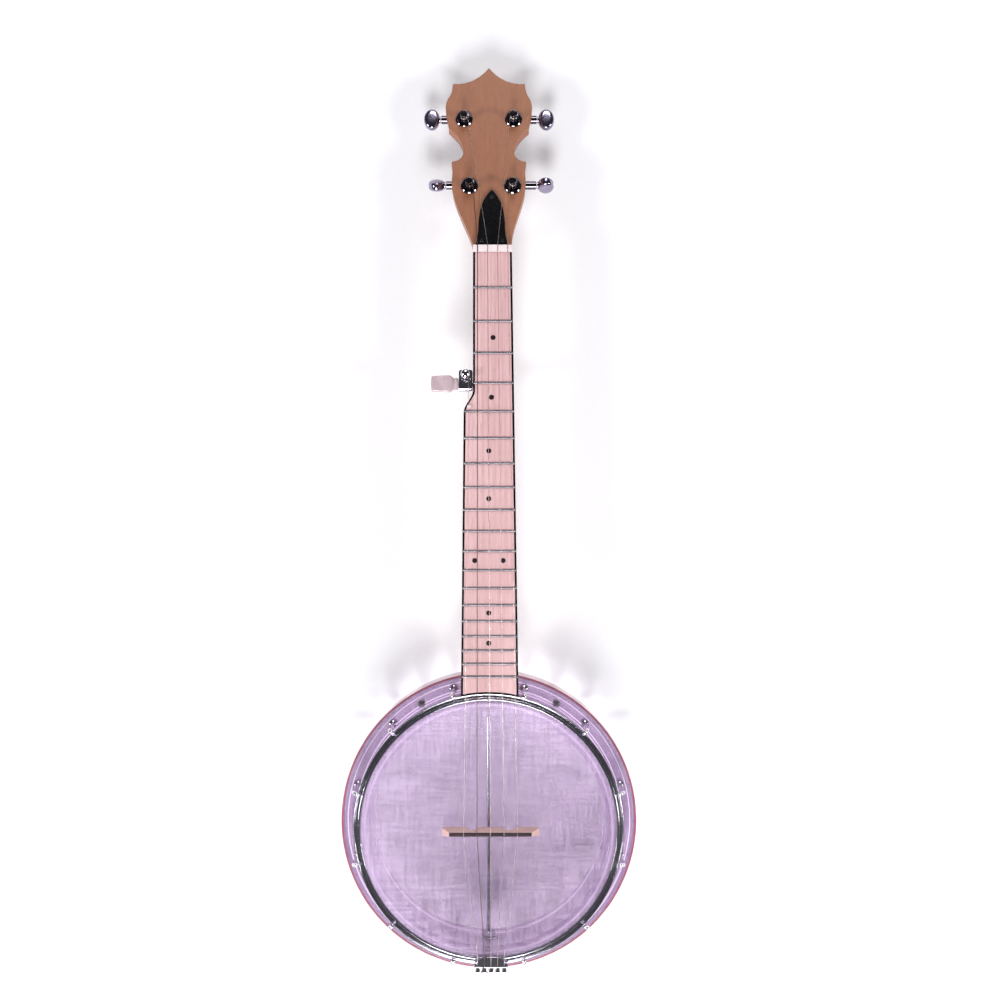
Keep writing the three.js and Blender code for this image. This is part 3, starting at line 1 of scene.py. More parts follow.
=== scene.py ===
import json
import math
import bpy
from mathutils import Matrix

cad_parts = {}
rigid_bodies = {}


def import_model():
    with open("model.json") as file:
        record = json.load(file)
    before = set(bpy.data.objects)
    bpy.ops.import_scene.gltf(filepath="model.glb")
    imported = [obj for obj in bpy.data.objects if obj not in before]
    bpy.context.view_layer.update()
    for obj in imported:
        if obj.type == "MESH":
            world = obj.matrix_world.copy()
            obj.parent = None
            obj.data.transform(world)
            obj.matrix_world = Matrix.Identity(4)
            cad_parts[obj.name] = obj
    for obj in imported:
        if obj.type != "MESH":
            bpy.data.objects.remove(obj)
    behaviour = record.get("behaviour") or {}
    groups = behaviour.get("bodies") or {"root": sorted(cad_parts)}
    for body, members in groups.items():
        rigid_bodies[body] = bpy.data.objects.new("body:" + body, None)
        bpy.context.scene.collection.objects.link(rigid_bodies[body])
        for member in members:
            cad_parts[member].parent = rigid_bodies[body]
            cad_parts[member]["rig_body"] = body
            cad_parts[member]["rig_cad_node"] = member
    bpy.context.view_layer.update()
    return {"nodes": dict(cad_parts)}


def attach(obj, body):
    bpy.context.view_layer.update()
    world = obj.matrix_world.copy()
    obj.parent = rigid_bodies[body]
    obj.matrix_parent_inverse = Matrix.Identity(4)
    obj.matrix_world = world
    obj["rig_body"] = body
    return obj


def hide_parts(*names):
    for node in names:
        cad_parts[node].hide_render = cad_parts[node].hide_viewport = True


bl_info = {
    "name": "Clear-pot banjo",
    "version": (1, 0, 0),
    "blender": (4, 5, 0),
    "location": "3D View > Sidebar > Banjo",
    "description": "Dresses the small five-string banjo: clear pot, chrome fittings, maple neck and strings",
    "category": "Object",
}

import bpy
from mathutils import Matrix, Vector

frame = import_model()

MM = 0.001
TAU = 2 * math.pi
TURNED_STEPS = 160  # steps of a large turned piece
SMALL_STEPS = 40  # steps of a small one
SOLID_STEPS = 48  # steps of the frame's rim
NOISE_LOW, NOISE_HIGH = 0.3, 0.7  # the range that a noise mostly fills

PLACES = ("upper_left", "upper_right", "lower_left", "lower_right")
KNOB_TURNS = {"upper_left": 0, "upper_right": 0, "lower_left": 55, "lower_right": 85}  # degrees
HOOK_ANGLES = [15 + 30 * i for i in range(12)]  # degrees round the pot from the neck
SCREW_ANGLES = (30, 150, 210, 330)
FRETS = 19

# Bores and the room between pieces

GAP = 0.3 * MM  # room left between pieces that meet
PAST = 2 * MM  # how far a cutting tool reaches past what it cuts
HOOK_BORE, SCREW_BORE, BOLT_BORE, ROD_BORE = 2.1 * MM, 1.9 * MM, 2.2 * MM, 2.4 * MM  # their radii

# The hoop's outer lip below its inner one, the wall outside its groove, and the groove

LIP_DROP, GROOVE_WALL, GROOVE_WIDTH = 0.8 * MM, 1.1 * MM, 2.4 * MM

# The neck's own measures. Its left and right are counted from the pot's axis

NECK_PITCH, HEAD_PITCH = 1, 10  # degrees that the neck leans back, and the headstock from it
NECK_MIDDLE = 2.4 * MM
LEFT_AT_NUT, RIGHT_AT_NUT = -12.2 * MM, 18.2 * MM
LEFT_BELOW_PEG = -19.5 * MM
LEFT_AT_POT, RIGHT_AT_POT, POT_END = -21.5 * MM, 23.4 * MM, 100 * MM  # the sides, and where they are so
PEG_PAST_FRET = 28.85 * MM
SHOULDER_BEFORE_PEG, SHOULDER_LENGTH = 12.4 * MM, 17.2 * MM
HEEL_START, HEEL_LENGTH, NECK_END = 158 * MM, 38 * MM, 86 * MM
DEPTH_AT_HEEL, DEPTH_AT_NUT = 17 * MM, 14.5 * MM
HEAD_OVERLAP = 15 * MM
BOARD_END = 106.9 * MM  # radius of the fingerboard's end round the pot
COVER_WIDTH, COVER_LENGTH = 12.75 * MM, 46.6 * MM  # half of the truss rod cover's width, and its length
PEG_LEFT = -18.1 * MM
PEG_WORM = (0, -6.2 * MM, -13 * MM)  # the worm's shaft, from the post on the fingerboard's face
TUNER_WORM = (20.3 * MM, 8.5 * MM, -18.5 * MM)

# The tailpiece's own measures, along the strings and from the pot's axis

TAIL_BACK, TAIL_SIDE, TAIL_FRONT, TAIL_TIP = -108 * MM, -104.6 * MM, -99.4 * MM, -113.8 * MM
TAIL_BOLT = -109 * MM
TIP_THICKNESS = 1.6 * MM
STRING_REST = 0.12 * MM  # room between a string and what it lies on


# Sizes and colours that a user may change


def size(name, description, millimetres):
    return bpy.props.FloatProperty(
        name=name,
        description=description,
        default=millimetres * MM,
        unit="LENGTH",
        subtype="DISTANCE",
        precision=5,
    )


def tint(name, description, red, green, blue):
    """A colour given as it looks on a screen, kept as light."""
    shares = [c / 255 for c in (red, green, blue)]
    light = [((c + 0.055) / 1.055) ** 2.4 if c > 0.04045 else c / 12.92 for c in shares]
    return bpy.props.FloatVectorProperty(
        name=name, description=description, default=light, size=3, subtype="COLOR", min=0, max=1
    )


class BanjoPotSizes(bpy.types.PropertyGroup):
    rim_radius: size("Rim radius", "Outside of the rim's wall", 100)
    rim_wall: size("Rim wall", "Thickness of the rim's wall", 7)
    rim_bottom: size("Rim bottom", "Height of the rim's lower edge", 12)
    bearing_top: size("Bearing edge", "Height of the edge that carries the drum head", 61.2)
    flange_bottom: size("Flange bottom", "Height of the flange's lower face", 27.5)
    flange_top: size("Flange top", "Height of the flange's upper face", 31)
    resonator_radius: size("Resonator radius", "Outside of the resonator and the flange", 119)
    resonator_wall: size("Resonator wall", "Thickness of the resonator", 3)
    resonator_corner: size("Resonator corner", "Rounding between its back and side", 6)
    resonator_depth: size("Resonator depth", "Height of its open edge", 27.2)
    head_top: size("Drum head", "Height of the drum head's upper face", 61.9)
    head_film: size("Film", "Thickness of the drum head", 0.4)
    head_skirt: size("Skirt", "Drum head to the lower end of its skirt", 12.4)
    collar_inner: size("Collar radius", "Inside of the head collar and the hoop", 101)
    collar_wall: size("Collar wall", "Thickness of the head collar", 1.4)
    collar_bottom: size("Collar bottom", "Height of the head collar's lower edge", 48)
    collar_top: size("Collar top", "Height of the head collar's upper edge", 53)


class BanjoFittingSizes(bpy.types.PropertyGroup):
    hoop_outer: size("Hoop radius", "Outside of the tension hoop", 106.3)
    hoop_top: size("Hoop top", "Height of the hoop's inner lip", 61)
    hoop_bottom: size("Hoop bottom", "Height of the hoop's lower edge", 53.3)
    hook_circle: size("Hook circle", "Radius that the hooks stand on", 109.5)
    hook_thickness: size("Hook thickness", "Thickness of a hook's shank", 3.4)
    hook_nut: size("Hook nut", "Width of a hook's nut across its flats", 7)
    screw_circle: size("Screw circle", "Radius that the resonator's screws stand on", 108.5)
    screw_head: size("Screw head", "Radius of a resonator screw's head", 3)
    rod_height: size("Rod height", "Height of the coordinator rod", 38)
    rod_radius: size("Rod radius", "Radius of the coordinator rod", 2.1)
    tail_middle: size("Tailpiece middle", "The strings' middle, to the right of the pot's axis", 1.85)
    tail_width: size("Tailpiece width", "Width of the tailpiece", 27.5)
    tail_bottom: size("Tailpiece bottom", "Height of the tailpiece's lower face", 62.8)
    tail_thickness: size("Tailpiece thickness", "Thickness of its sheet", 1.6)
    prong_width: size("Prong width", "Width of a tailpiece prong", 3.4)
    prong_pitch: size("Prong pitch", "Distance between two prongs", 5.2)
    bridge_place: size("Bridge place", "Place of the bridge along the strings", -1.3)
    bridge_top: size("Bridge top", "Height of the bridge", 76.5)


class BanjoNeckSizes(bpy.types.PropertyGroup):
    top_at_axis: size("Neck top", "Height of the neck's upper face at the pot's axis", 66.07)
    nut_front: size("Nut front", "Pot's axis to the nut's face, along the neck", 452.6)
    nut_back: size("Nut back", "Pot's axis to the nut's back", 458)
    head_start: size("Headstock start", "Pot's axis to the headstock", 458.3)
    board_thickness: size("Board thickness", "Thickness of the fingerboard", 4.8)
    binding_width: size("Binding width", "Width of the black binding", 1.5)
    scale_length: size("Scale length", "Length that sets the frets' places", 498.5)
    fret_width: size("Fret width", "Width of a fret", 2)
    fret_height: size("Fret height", "Height of a fret's crown", 1)
    marker_radius: size("Marker radius", "Radius of a position marker", 2)
    head_length: size("Headstock length", "Length of the headstock", 154)
    head_half_width: size("Headstock half width", "Half of the headstock's width", 35)
    head_thickness: size("Headstock thickness", "Thickness of the headstock", 12.5)
    heel_depth: size("Heel depth", "Depth of the heel", 33.5)


class BanjoTunerSizes(bpy.types.PropertyGroup):
    ferrule_radius: size("Ferrule radius", "Radius of a ferrule's flange", 6.9)
    post_radius: size("Post radius", "Radius of a string post", 3)
    post_height: size("Post height", "Post above the headstock's face", 10.6)
    knob_length: size("Button length", "Length of a button along its shaft", 13)
    knob_width: size("Button width", "Width of a button", 17.2)
    knob_thickness: size("Button thickness", "Thickness of a button", 8)
    peg_knob_length: size("Fifth button length", "Length of the fifth peg's button", 18.6)
    peg_knob_width: size("Fifth button width", "Width of the fifth peg's button", 14.4)
    peg_knob_thickness: size("Fifth button thickness", "Thickness of the fifth peg's button", 7)


class BanjoStringSizes(bpy.types.PropertyGroup):
    first: size("First string", "Thickness of the first and fifth strings", 0.3)
    second: size("Second string", "Thickness of the second string", 0.34)
    third: size("Third string", "Thickness of the third string", 0.4)
    fourth: size("Fourth string", "Thickness of the wound fourth string", 0.56)
    nut_right: size("First string at the nut", "Its place to the right of the pot's axis", 15)
    nut_pitch: size("Pitch at the nut", "Distance between strings at the nut", 7.87)
    bridge_right: size("First string at the bridge", "Its place to the right of the pot's axis", 22.5)
    bridge_pitch: size("Pitch at the bridge", "Distance between strings at the bridge", 10.45)


class BanjoColours(bpy.types.PropertyGroup):
    plastic: tint("Clear plastic", "Tint of the pot and resonator", 140, 108, 152)
    plastic_edge: tint("Plastic edge", "Tint that gathers at the outer edge", 158, 76, 86)
    film: tint("Drum head", "Tint of the drum head", 206, 188, 214)
    chrome: tint("Chrome", "Plating of the hoop, hooks and rod", 96, 93, 118)
    dark_chrome: tint("Dark chrome", "Plating of the tuners", 112, 107, 116)
    button: tint("Button chrome", "Plating of the tuner buttons", 168, 160, 184)
    aluminium: tint("Collar", "Head collar", 160, 152, 170)
    steel: tint("Steel", "Screws and bolts", 118, 113, 120)
    maple_light: tint("Neck maple, light", "Light grain of the neck", 163, 108, 78)
    maple_dark: tint("Neck maple, dark", "Dark grain of the neck", 142, 88, 62)
    board_light: tint("Board maple, light", "Light grain of the fingerboard", 232, 195, 197)
    board_dark: tint("Board maple, dark", "Dark grain of the fingerboard", 200, 157, 158)
    bridge_light: tint("Bridge maple, light", "Light grain of the bridge", 232, 200, 190)
    bridge_dark: tint("Bridge maple, dark", "Dark grain of the bridge", 206, 164, 150)
    ebony_light: tint("Ebony, light", "Light grain of the bridge cap", 66, 44, 46)
    ebony_dark: tint("Ebony, dark", "Dark grain of the bridge cap", 26, 18, 22)
    black: tint("Black plastic", "Binding and truss rod cover", 6, 5, 7)
    marker: tint("Markers", "Position markers", 34, 26, 30)
    bone: tint("Nut and pip", "White parts", 238, 222, 224)
    fret: tint("Frets", "Nickel silver of the frets", 112, 106, 112)
    pearl: tint("Pearl plastic", "Button of the fifth peg", 190, 168, 174)
    wire: tint("String wire", "Plain strings", 226, 214, 204)
    wound_wire: tint("Wound wire", "Wrap of the wound string", 132, 110, 104)
    floor: tint("Floor", "Floor under the banjo", 246, 245, 247)


# Numbers, places and outlines


def shift(x, y, z):
    return Matrix.Translation((x, y, z))


def spun(axis, degrees):
    return Matrix.Rotation(math.radians(degrees), 4, axis)


ON_EDGE = spun("Z", 90) @ spun("X", 90)  # stands a slab up, so that its outline is seen from the side


def blend(a, b, share):
    return a + (b - a) * share


def eased(share):
    held = min(max(share, 0), 1)
    return held * held * (3 - 2 * held)


def round_pot(circle, angles):
    """Places on a circle round the pot, turned with it. Degrees are counted from the neck."""
    return [spun("Z", degrees) @ shift(0, circle, 0) for degrees in angles]


def oblong(near, far, low, high):
    return [(near, low), (far, low), (far, high), (near, high)]


def arc(centre, reach, start, end, steps):
    """Points on a circle or an oval, from one angle to another in degrees."""
    points = []
    for step in range(steps + 1):
        angle = math.radians(blend(start, end, step / steps))
        points.append((centre[0] + reach[0] * math.cos(angle), centre[1] + reach[1] * math.sin(angle)))
    return points


def rounded(corners, radius, steps=3, ring=True):
    """A profile or outline with its corners rounded."""
    points = []
    for i, corner in enumerate(corners):
        here = Vector(corner)
        if not ring and i in (0, len(corners) - 1):
            points.append(tuple(here))
            continue
        before = Vector(corners[i - 1]) - here
        after = Vector(corners[(i + 1) % len(corners)]) - here
        reach = min(radius, before.length * 0.45, after.length * 0.45)
        start, end = here + before.normalized() * reach, here + after.normalized() * reach
        for step in range(steps + 1):
            share = step / steps
            bend = start * (1 - share) ** 2 + here * (2 * share * (1 - share)) + end * share**2
            points.append(tuple(bend))
    return points


def bezier_side(start, curves, half_width, length, steps=16):
    """One side of an outline, through curves given as shares of its half width and length."""
    points = [(start, 0.0)]
    for curve in curves:
        a, b, c, d = [Vector(points[-1])] + [Vector((x * half_width, y * length)) for x, y in curve]
        for step in range(1, steps + 1):
            t = step / steps
            points.append(tuple(
                a * (1 - t) ** 3 + b * (3 * t * (1 - t) ** 2) + c * (3 * t * t * (1 - t)) + d * t**3
            ))
    return points


def mirrored(right, left):
    """An outline made of its right side and its left, which end in one point."""
    return [*right, *reversed(left[:-1])]


# Picking and drawing a piece


def deselect():
    active = bpy.context.view_layer.objects.active
    if active and active.mode != "OBJECT":
        bpy.ops.object.mode_set(mode="OBJECT")
    bpy.ops.object.select_all(action="DESELECT")


def pick(*objects):
    deselect()
    for obj in objects:
        obj.select_set(True)
    bpy.context.view_layer.objects.active = objects[0]


def drop(*objects):
    for obj in objects:
        bpy.data.objects.remove(obj, do_unlink=True)


def open_mesh(obj):
    pick(obj)
    bpy.ops.object.mode_set(mode="EDIT")
    bpy.ops.mesh.select_mode(type="VERT")
    bpy.ops.mesh.select_all(action="SELECT")


def close_mesh(outwards=True):
    """Merges what touches, turns the faces outwards and leaves the mesh."""
    bpy.ops.mesh.select_all(action="SELECT")
    bpy.ops.mesh.remove_doubles(threshold=0.001 * MM)
    if outwards:
        bpy.ops.mesh.normals_make_consistent(inside=False)
    bpy.ops.object.mode_set(mode="OBJECT")


def named(name):
    obj = bpy.context.object
    obj.name = name
    obj.data.name = name
    return obj


def settle(obj, place):
    """Puts a piece in its place, which goes into its mesh."""
    obj.matrix_basis = place @ obj.matrix_basis
    pick(obj)
    bpy.ops.object.transform_apply(location=True, rotation=True, scale=True)
    return obj


def copy_of(obj, name, place):
    pick(obj)
    bpy.ops.object.duplicate()
    return settle(named(name), place)


def draw_line(name, corners, close=False):
    """Draws an outline from one vertex, corner by corner, and stays in the mesh."""
    deselect()
    bpy.ops.mesh.primitive_plane_add(size=MM)
    obj = named(name)
    bpy.ops.object.mode_set(mode="EDIT")
    bpy.ops.mesh.select_all(action="SELECT")
    bpy.ops.mesh.merge(type="CENTER")
    places = [Vector(corner) for corner in corners]
    bpy.ops.transform.translate(value=places[0])
    for here, there in zip(places, places[1:]):
        bpy.ops.mesh.extrude_vertices_move(TRANSFORM_OT_translate={"value": there - here})
    bpy.ops.mesh.select_all(action="SELECT")
    if close:
        bpy.ops.mesh.edge_face_add()
    return obj


def turn(name, profile, steps=SMALL_STEPS, ring=False):
    """Spins a drawn (radius, height) profile round Z. A ring's profile closes on itself."""
    obj = draw_line(name, [(radius, 0, height) for radius, height in profile], close=ring)
    if ring:
        bpy.ops.mesh.delete(type="ONLY_FACE")
        bpy.ops.mesh.select_all(action="SELECT")
    bpy.ops.mesh.spin(steps=steps, angle=TAU, center=(0, 0, 0), axis=(0, 0, 1))
    close_mesh()
    return obj


def turned(name, corners, rounding, steps=SMALL_STEPS, ring=False):
    """A turned piece whose profile has rounded corners."""
    return turn(name, rounded(corners, rounding, ring=ring), steps, ring)


def slab(name, outline, low, high):
    """A drawn (x, y) outline pulled up from one height to another."""
    obj = draw_line(name, [(x, y, low) for x, y in outline], close=True)
    bpy.ops.mesh.extrude_region_move(TRANSFORM_OT_translate={"value": (0, 0, high - low)})
    close_mesh()
    return obj


def bar(name, radius, low, high, sides=32):
    """A round or six-sided bar along Z."""
    deselect()
    middle = (0, 0, (low + high) / 2)
    bpy.ops.mesh.primitive_cylinder_add(vertices=sides, radius=radius, depth=high - low, location=middle)
    return settle(named(name), Matrix.Identity(4))


def box(name, low, high):
    deselect()
    bpy.ops.mesh.primitive_cube_add(size=1, location=[(a + b) / 2 for a, b in zip(low, high)])
    obj = named(name)
    obj.scale = [b - a for a, b in zip(low, high)]
    return settle(obj, Matrix.Identity(4))


def round_wire(name, points, radii, sides):
    """A wire or rod through a list of points, with its own radius at each."""
    deselect()
    bpy.ops.curve.primitive_nurbs_path_add()
    obj = named(name)
    curve = obj.data
    curve.splines.clear()
    spline = curve.splines.new("POLY")
    spline.points.add(len(points) - 1)
    for point, place, radius in zip(spline.points, points, radii):
        point.co = (*place, 1)
        point.radius = radius / radii[0]
    curve.dimensions = "3D"
    curve.twist_mode = "MINIMUM"
    curve.bevel_mode = "ROUND"
    curve.bevel_depth = radii[0]
    curve.bevel_resolution = sides // 4
    curve.use_fill_caps = True
    pick(obj)
    bpy.ops.object.convert(target="MESH")
    obj = bpy.context.object
    open_mesh(obj)
    close_mesh()
    return obj


# Changing a piece


def node_copy(node, name):
    """A copy of a solid of the frame, with its loose triangles merged into faces."""
    pick(frame["nodes"][node])
    bpy.ops.object.duplicate()
    obj = named(name)
    obj.parent = None
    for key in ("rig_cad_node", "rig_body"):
        if key in obj:
            del obj[key]
    open_mesh(obj)
    bpy.ops.mesh.remove_doubles(threshold=0.001 * MM)
    bpy.ops.mesh.dissolve_limited(angle_limit=math.radians(0.6))
    close_mesh(outwards=False)
    return obj


def gear_end(node, name, point, way):
    """The end of a shaft with its worm or wheel, cut from a copy of the solid."""
    obj = node_copy(node, name)
    open_mesh(obj)
    bpy.ops.mesh.bisect(
        plane_co=point, plane_no=way, use_fill=True, clear_outer=True, threshold=0.0001 * MM
    )
    close_mesh(outwards=False)
    return obj


def apply_modifier(obj, kind, **settings):
    pick(obj)
    bpy.ops.object.modifier_add(type=kind)
    modifier = obj.modifiers[-1]
    for key, value in settings.items():
        setattr(modifier, key, value)
    bpy.ops.object.modifier_apply(modifier=modifier.name)
    return obj


def soften(obj, width, segments=3, angle=30):
    limit = math.radians(angle)
    return apply_modifier(
        obj, "BEVEL", width=width, segments=segments, limit_method="ANGLE", angle_limit=limit
    )


def combine(obj, operation, *tools):
    for tool in tools:
        apply_modifier(obj, "BOOLEAN", object=tool, operation=operation, solver="EXACT")
        drop(tool)
    open_mesh(obj)
    close_mesh(outwards=False)
    return obj


def cut(obj, *tools):
    return combine(obj, "DIFFERENCE", *tools)


def weld(obj, *others):
    return combine(obj, "UNION", *others)


def join(obj, *others):
    pick(obj, *others)
    bpy.ops.object.join()
    return obj


def many(shape, places):
    """One tool made of a shape's copies at several places."""
    copies = [copy_of(shape, shape.name, place) for place in places]
    drop(shape)
    return join(*copies)


# Finishing a piece


def fit(obj, finish, *nodes, body="banjo", angle=38):
    """Finishes a piece: its surface, the body that carries it and the solids that it stands for."""
    pick(obj)
    bpy.ops.object.shade_smooth_by_angle(angle=math.radians(angle))
    apply_modifier(obj, "WEIGHTED_NORMAL", keep_sharp=True, weight=60)
    obj.data.materials.clear()
    obj.data.materials.append(bpy.data.materials[finish])
    if nodes:
        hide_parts(*nodes)
    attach(obj, body)
    return obj


def spread(shape, name, places, finish, *nodes):
    """Fits a numbered copy of a shape at each place. Names hold a pair of braces for the number."""
    for number, place in enumerate(places, 1):
        copy = copy_of(shape, name.format(number), place)
        fit(copy, finish, *[node.format(number) for node in nodes])
    drop(shape)


# Nodes


class Nodes:
    """Builds the nodes of a material or of the world."""

    def __init__(self, owner):
        owner.use_nodes = True
        self.tree = owner.node_tree

    def put(self, value, socket):
        """Gives a socket a number, a colour or another node's output."""
        if isinstance(value, bpy.types.NodeSocket):
            self.tree.links.new(value, socket)
        elif socket.type == "RGBA":
            socket.default_value = (*value, 1)
        else:
            socket.default_value = value

    def node(self, kind, inputs, output, **settings):
        made = self.tree.nodes.new(kind)
        for key, value in settings.items():
            setattr(made, key, value)
        for key, value in inputs.items():
            self.put(value, made.inputs[key])
        return made.outputs[output]

    def ranged(self, value, low, high, to_low=0, to_high=1):
        inputs = {"Value": value, "From Min": low, "From Max": high, "To Min": to_low, "To Max": to_high}
        return self.node("ShaderNodeMapRange", inputs, "Result")

    def part(self, vector, axis):
        return self.node("ShaderNodeSeparateXYZ", {"Vector": vector}, axis)


class Finish(Nodes):
    """Builds one surface material."""

    def __init__(self, name):
        super().__init__(bpy.data.materials.new(name))
        self.shader = self.tree.nodes["Principled BSDF"]
        self.coordinates = self.node("ShaderNodeTexCoord", {}, "Object")

    def set(self, **inputs):
        """Sets the shader's inputs. A space in a name is written as an underscore."""
        for key, value in inputs.items():
            self.put(value, self.shader.inputs[key.replace("_", " ")])
        return self

    def stretched(self, scale):
        return self.node("ShaderNodeMapping", {"Scale": scale, "Vector": self.coordinates}, "Vector")

    def noise(self, scale, detail=4, rough=0.55, stretch=(1, 1, 1), distortion=0):
        inputs = {"Scale": scale, "Detail": detail, "Roughness": rough, "Distortion": distortion}
        inputs["Vector"] = self.stretched(stretch)
        return self.node("ShaderNodeTexNoise", inputs, "Fac")

    def wave(self, scale, axis, distortion=0, detail=0, detail_scale=1):
        inputs = {"Scale": scale, "Distortion": distortion, "Detail": detail, "Detail Scale": detail_scale}
        inputs["Vector"] = self.coordinates
        return self.node("ShaderNodeTexWave", inputs, "Fac", bands_direction=axis)

    def math(self, operation, first, *others):
        for other in others:
            first = self.node("ShaderNodeMath", {0: first, 1: other}, "Value", operation=operation)
        return first

    def both(self, *values):
        return self.math("MULTIPLY", *values)

    def weighted(self, *parts):
        """The sum of values, each times its weight."""
        return self.math("ADD", *[self.both(value, weight) for value, weight in parts])

    def weave(self, scale, stretch=0.07):
        """Fine threads one way and the other."""
        along = self.noise(scale, 2, 0.5, (1, stretch, 1))
        across = self.noise(scale, 2, 0.5, (stretch, 1, 1))
        return self.both(self.math("ADD", along, across), 0.5)

    def rise(self, value, low, high):
        """Nothing below one distance and one above the other, both in millimetres."""
        return self.ranged(value, low * MM, high * MM)

    def fall(self, value, low, high):
        """One below one distance and nothing above the other, both in millimetres."""
        return self.ranged(value, low * MM, high * MM, 1, 0)

    def band(self, value, low, high, fade):
        """One between two distances in millimetres, nothing outside them."""
        return self.both(self.rise(value, low, low + fade), self.fall(value, high - fade, high))

    def mixed(self, share, first, second):
        return self.node("ShaderNodeMix", {0: share, 6: first, 7: second}, 2, data_type="RGBA")

    def radius(self):
        """Distance from the pot's axis."""
        flat = self.stretched((1, 1, 0))
        return self.node("ShaderNodeVectorMath", {0: flat}, "Value", operation="LENGTH")

    def along(self, axis):
        """Distance along one axis of the frame."""
        return self.part(self.coordinates, axis)

    def facing(self, blend_share):
        """How much the surface is looked along."""
        return self.node("ShaderNodeLayerWeight", {"Blend": blend_share}, "Facing")

    def mottle(self, value, first, second):
        """Tints the surface from one colour to another by a noise."""
        self.set(Base_Color=self.mixed(self.ranged(value, NOISE_LOW, NOISE_HIGH), first, second))

    def wear(self, value, low, high):
        """Takes the roughness from one value to another by a noise."""
        self.set(Roughness=self.ranged(value, NOISE_LOW, NOISE_HIGH, low, high))

    def bump(self, height, millimetres, strength):
        inputs = {"Strength": strength, "Distance": millimetres * MM, "Height": height}
        self.set(Normal=self.node("ShaderNodeBump", inputs, "Normal"))


def shade(colour, strength):
    """A colour made darker or lighter."""
    return [min(c * strength, 1) for c in colour]


# Finishes


def make_clear_plastic(name, colour, edge, bright):
    """See-through moulded plastic: denser where it is looked along, with a warm rim, ridged rings, a painted
    sheen and painted highlights.
    """
    finish = Finish(name).set(IOR=1.49)
    radius, height, facing = finish.radius(), finish.along("Z"), finish.facing(0.5)
    lip = finish.both(finish.rise(radius, 117, 117.6), finish.rise(height, 29.4, 30.2))
    wall = finish.both(finish.rise(radius, 117.4, 118), finish.ranged(facing, 0.72, 0.92))
    rim = finish.math("MAXIMUM", lip, wall)
    # Painted highlight: a light, denser ring where the drum head bends over the bearing edge
    crown = finish.both(finish.band(radius, 96, 98.6, 0.7), finish.rise(height, 56.5, 58))
    # Painted highlight: a light, denser band low on the rim's inner wall
    foot = finish.both(finish.band(height, 19, 26.5, 1.2), finish.fall(radius, 93.4, 94))
    flange = finish.both(finish.rise(height, 25, 27), finish.rise(radius, 99.6, 100.6))
    # Fine rings round the axis on the flange: ridges in the bump, and painted reflections where they lighten
    # the colour and thicken the plastic
    rings = flange
    for radians_a_metre, low, high in ((3000, -0.2, 1), (900, -0.6, 0.9)):
        angle = finish.both(radius, radians_a_metre)
        ripple = finish.node("ShaderNodeMath", {0: angle}, "Value", operation="SINE")
        rings = finish.both(rings, finish.ranged(ripple, low, high))
    floor = finish.fall(height, 3.6, 4.4)
    weave = finish.both(floor, finish.ranged(finish.weave(620), 0.42, 0.58))
    body = finish.mixed(finish.ranged(finish.noise(9, 3), NOISE_LOW, NOISE_HIGH), colour, shade(colour, 0.9))
    # Painted sheen: the plastic is mixed towards a lighter tint where it is looked along
    body = finish.mixed(finish.ranged(facing, 0.15, 0.85, 0, 0.75), body, bright)
    body = finish.mixed(finish.both(weave, 0.55), body, shade(colour, 0.4))
    # The painted highlights of the crown ring, the wall band and the flange rings mix the plastic towards a
    # lighter tint
    painted_highlights = finish.math("MAXIMUM", finish.both(crown, 0.5), foot, rings)
    body = finish.mixed(painted_highlights, body, shade(bright, 1.55))
    looked_along = finish.ranged(finish.facing(0.35), 0, 1, 0.36, 0.8)
    scratches = finish.noise(160, 3, 0.7, (1, 7, 1), 0.6)
    finish.set(
        Base_Color=finish.mixed(rim, body, edge),
        Alpha=finish.weighted(
            (looked_along, 1), (flange, -0.14), (rim, 0.6), (crown, 0.1), (foot, 0.6), (rings, 0.5),
            (floor, 0.16),
        ),
        Roughness=finish.ranged(scratches, 0.4, 0.8, 0.07, 0.2),
    )
    finish.bump(finish.weighted((scratches, 0.05), (rings, 1)), 0.16, 0.9)


def make_film(name, colour):
    """Drum head: clear film with a fine crosshatched face, and a painted sheen that makes it lighter and
    denser towards the neck and the left.
    """
    finish = Finish(name)
    hatch = finish.weave(620)
    # Painted sheen: the film is mixed towards a lighter tint and made denser towards the left and the neck,
    # standing in for light it reflects there
    to_left = finish.ranged(finish.along("X"), -0.01, -0.08, 0, 0.5)
    to_neck = finish.ranged(finish.along("Y"), 0.015, 0.09, 0, 0.7)
    painted_sheen = finish.math("MAXIMUM", to_left, to_neck)
    threads = finish.mixed(finish.ranged(hatch, 0.42, 0.58), shade(colour, 0.45), colour)
    looked_along = finish.ranged(finish.facing(0.3), 0, 1, 0.06, 0.55)
    woven = finish.ranged(hatch, 0.4, 0.6, -0.05, 0.07)
    cloud = finish.ranged(finish.noise(11, 4, 0.6), 0.35, 0.65, -0.02, 0.03)
    finish.set(
        Base_Color=finish.mixed(painted_sheen, threads, shade(colour, 1.25)),
        Alpha=finish.weighted((looked_along, 1), (woven, 1), (painted_sheen, 0.34), (cloud, 1)),
        Roughness=finish.ranged(hatch, 0.35, 0.65, 0.16, 0.32),
    )
    finish.bump(hatch, 0.008, 0.4)


def make_plating(name, colour, low, high):
    """Bright plating with faint cloudiness and wiping marks."""
    finish = Finish(name).set(Metallic=1.0)
    cloud = finish.noise(70)
    marks = finish.noise(900, 2, 0.6, (1, 0.2, 1))
    finish.mottle(cloud, colour, shade(colour, 0.78))
    finish.set(Roughness=finish.ranged(finish.weighted((cloud, 1), (marks, 0.4)), 0.45, 0.95, low, high))
    finish.bump(marks, 0.003, 0.4)


def make_brushed(name, colour, stretch, low, high):
    """Brushed or drawn metal: fine lines one way."""
    finish = Finish(name).set(Metallic=1.0)
    lines = finish.noise(1400, 3, 0.7, stretch)
    finish.mottle(lines, colour, shade(colour, 0.7))
    finish.wear(lines, low, high)
    finish.bump(lines, 0.01, 0.4)


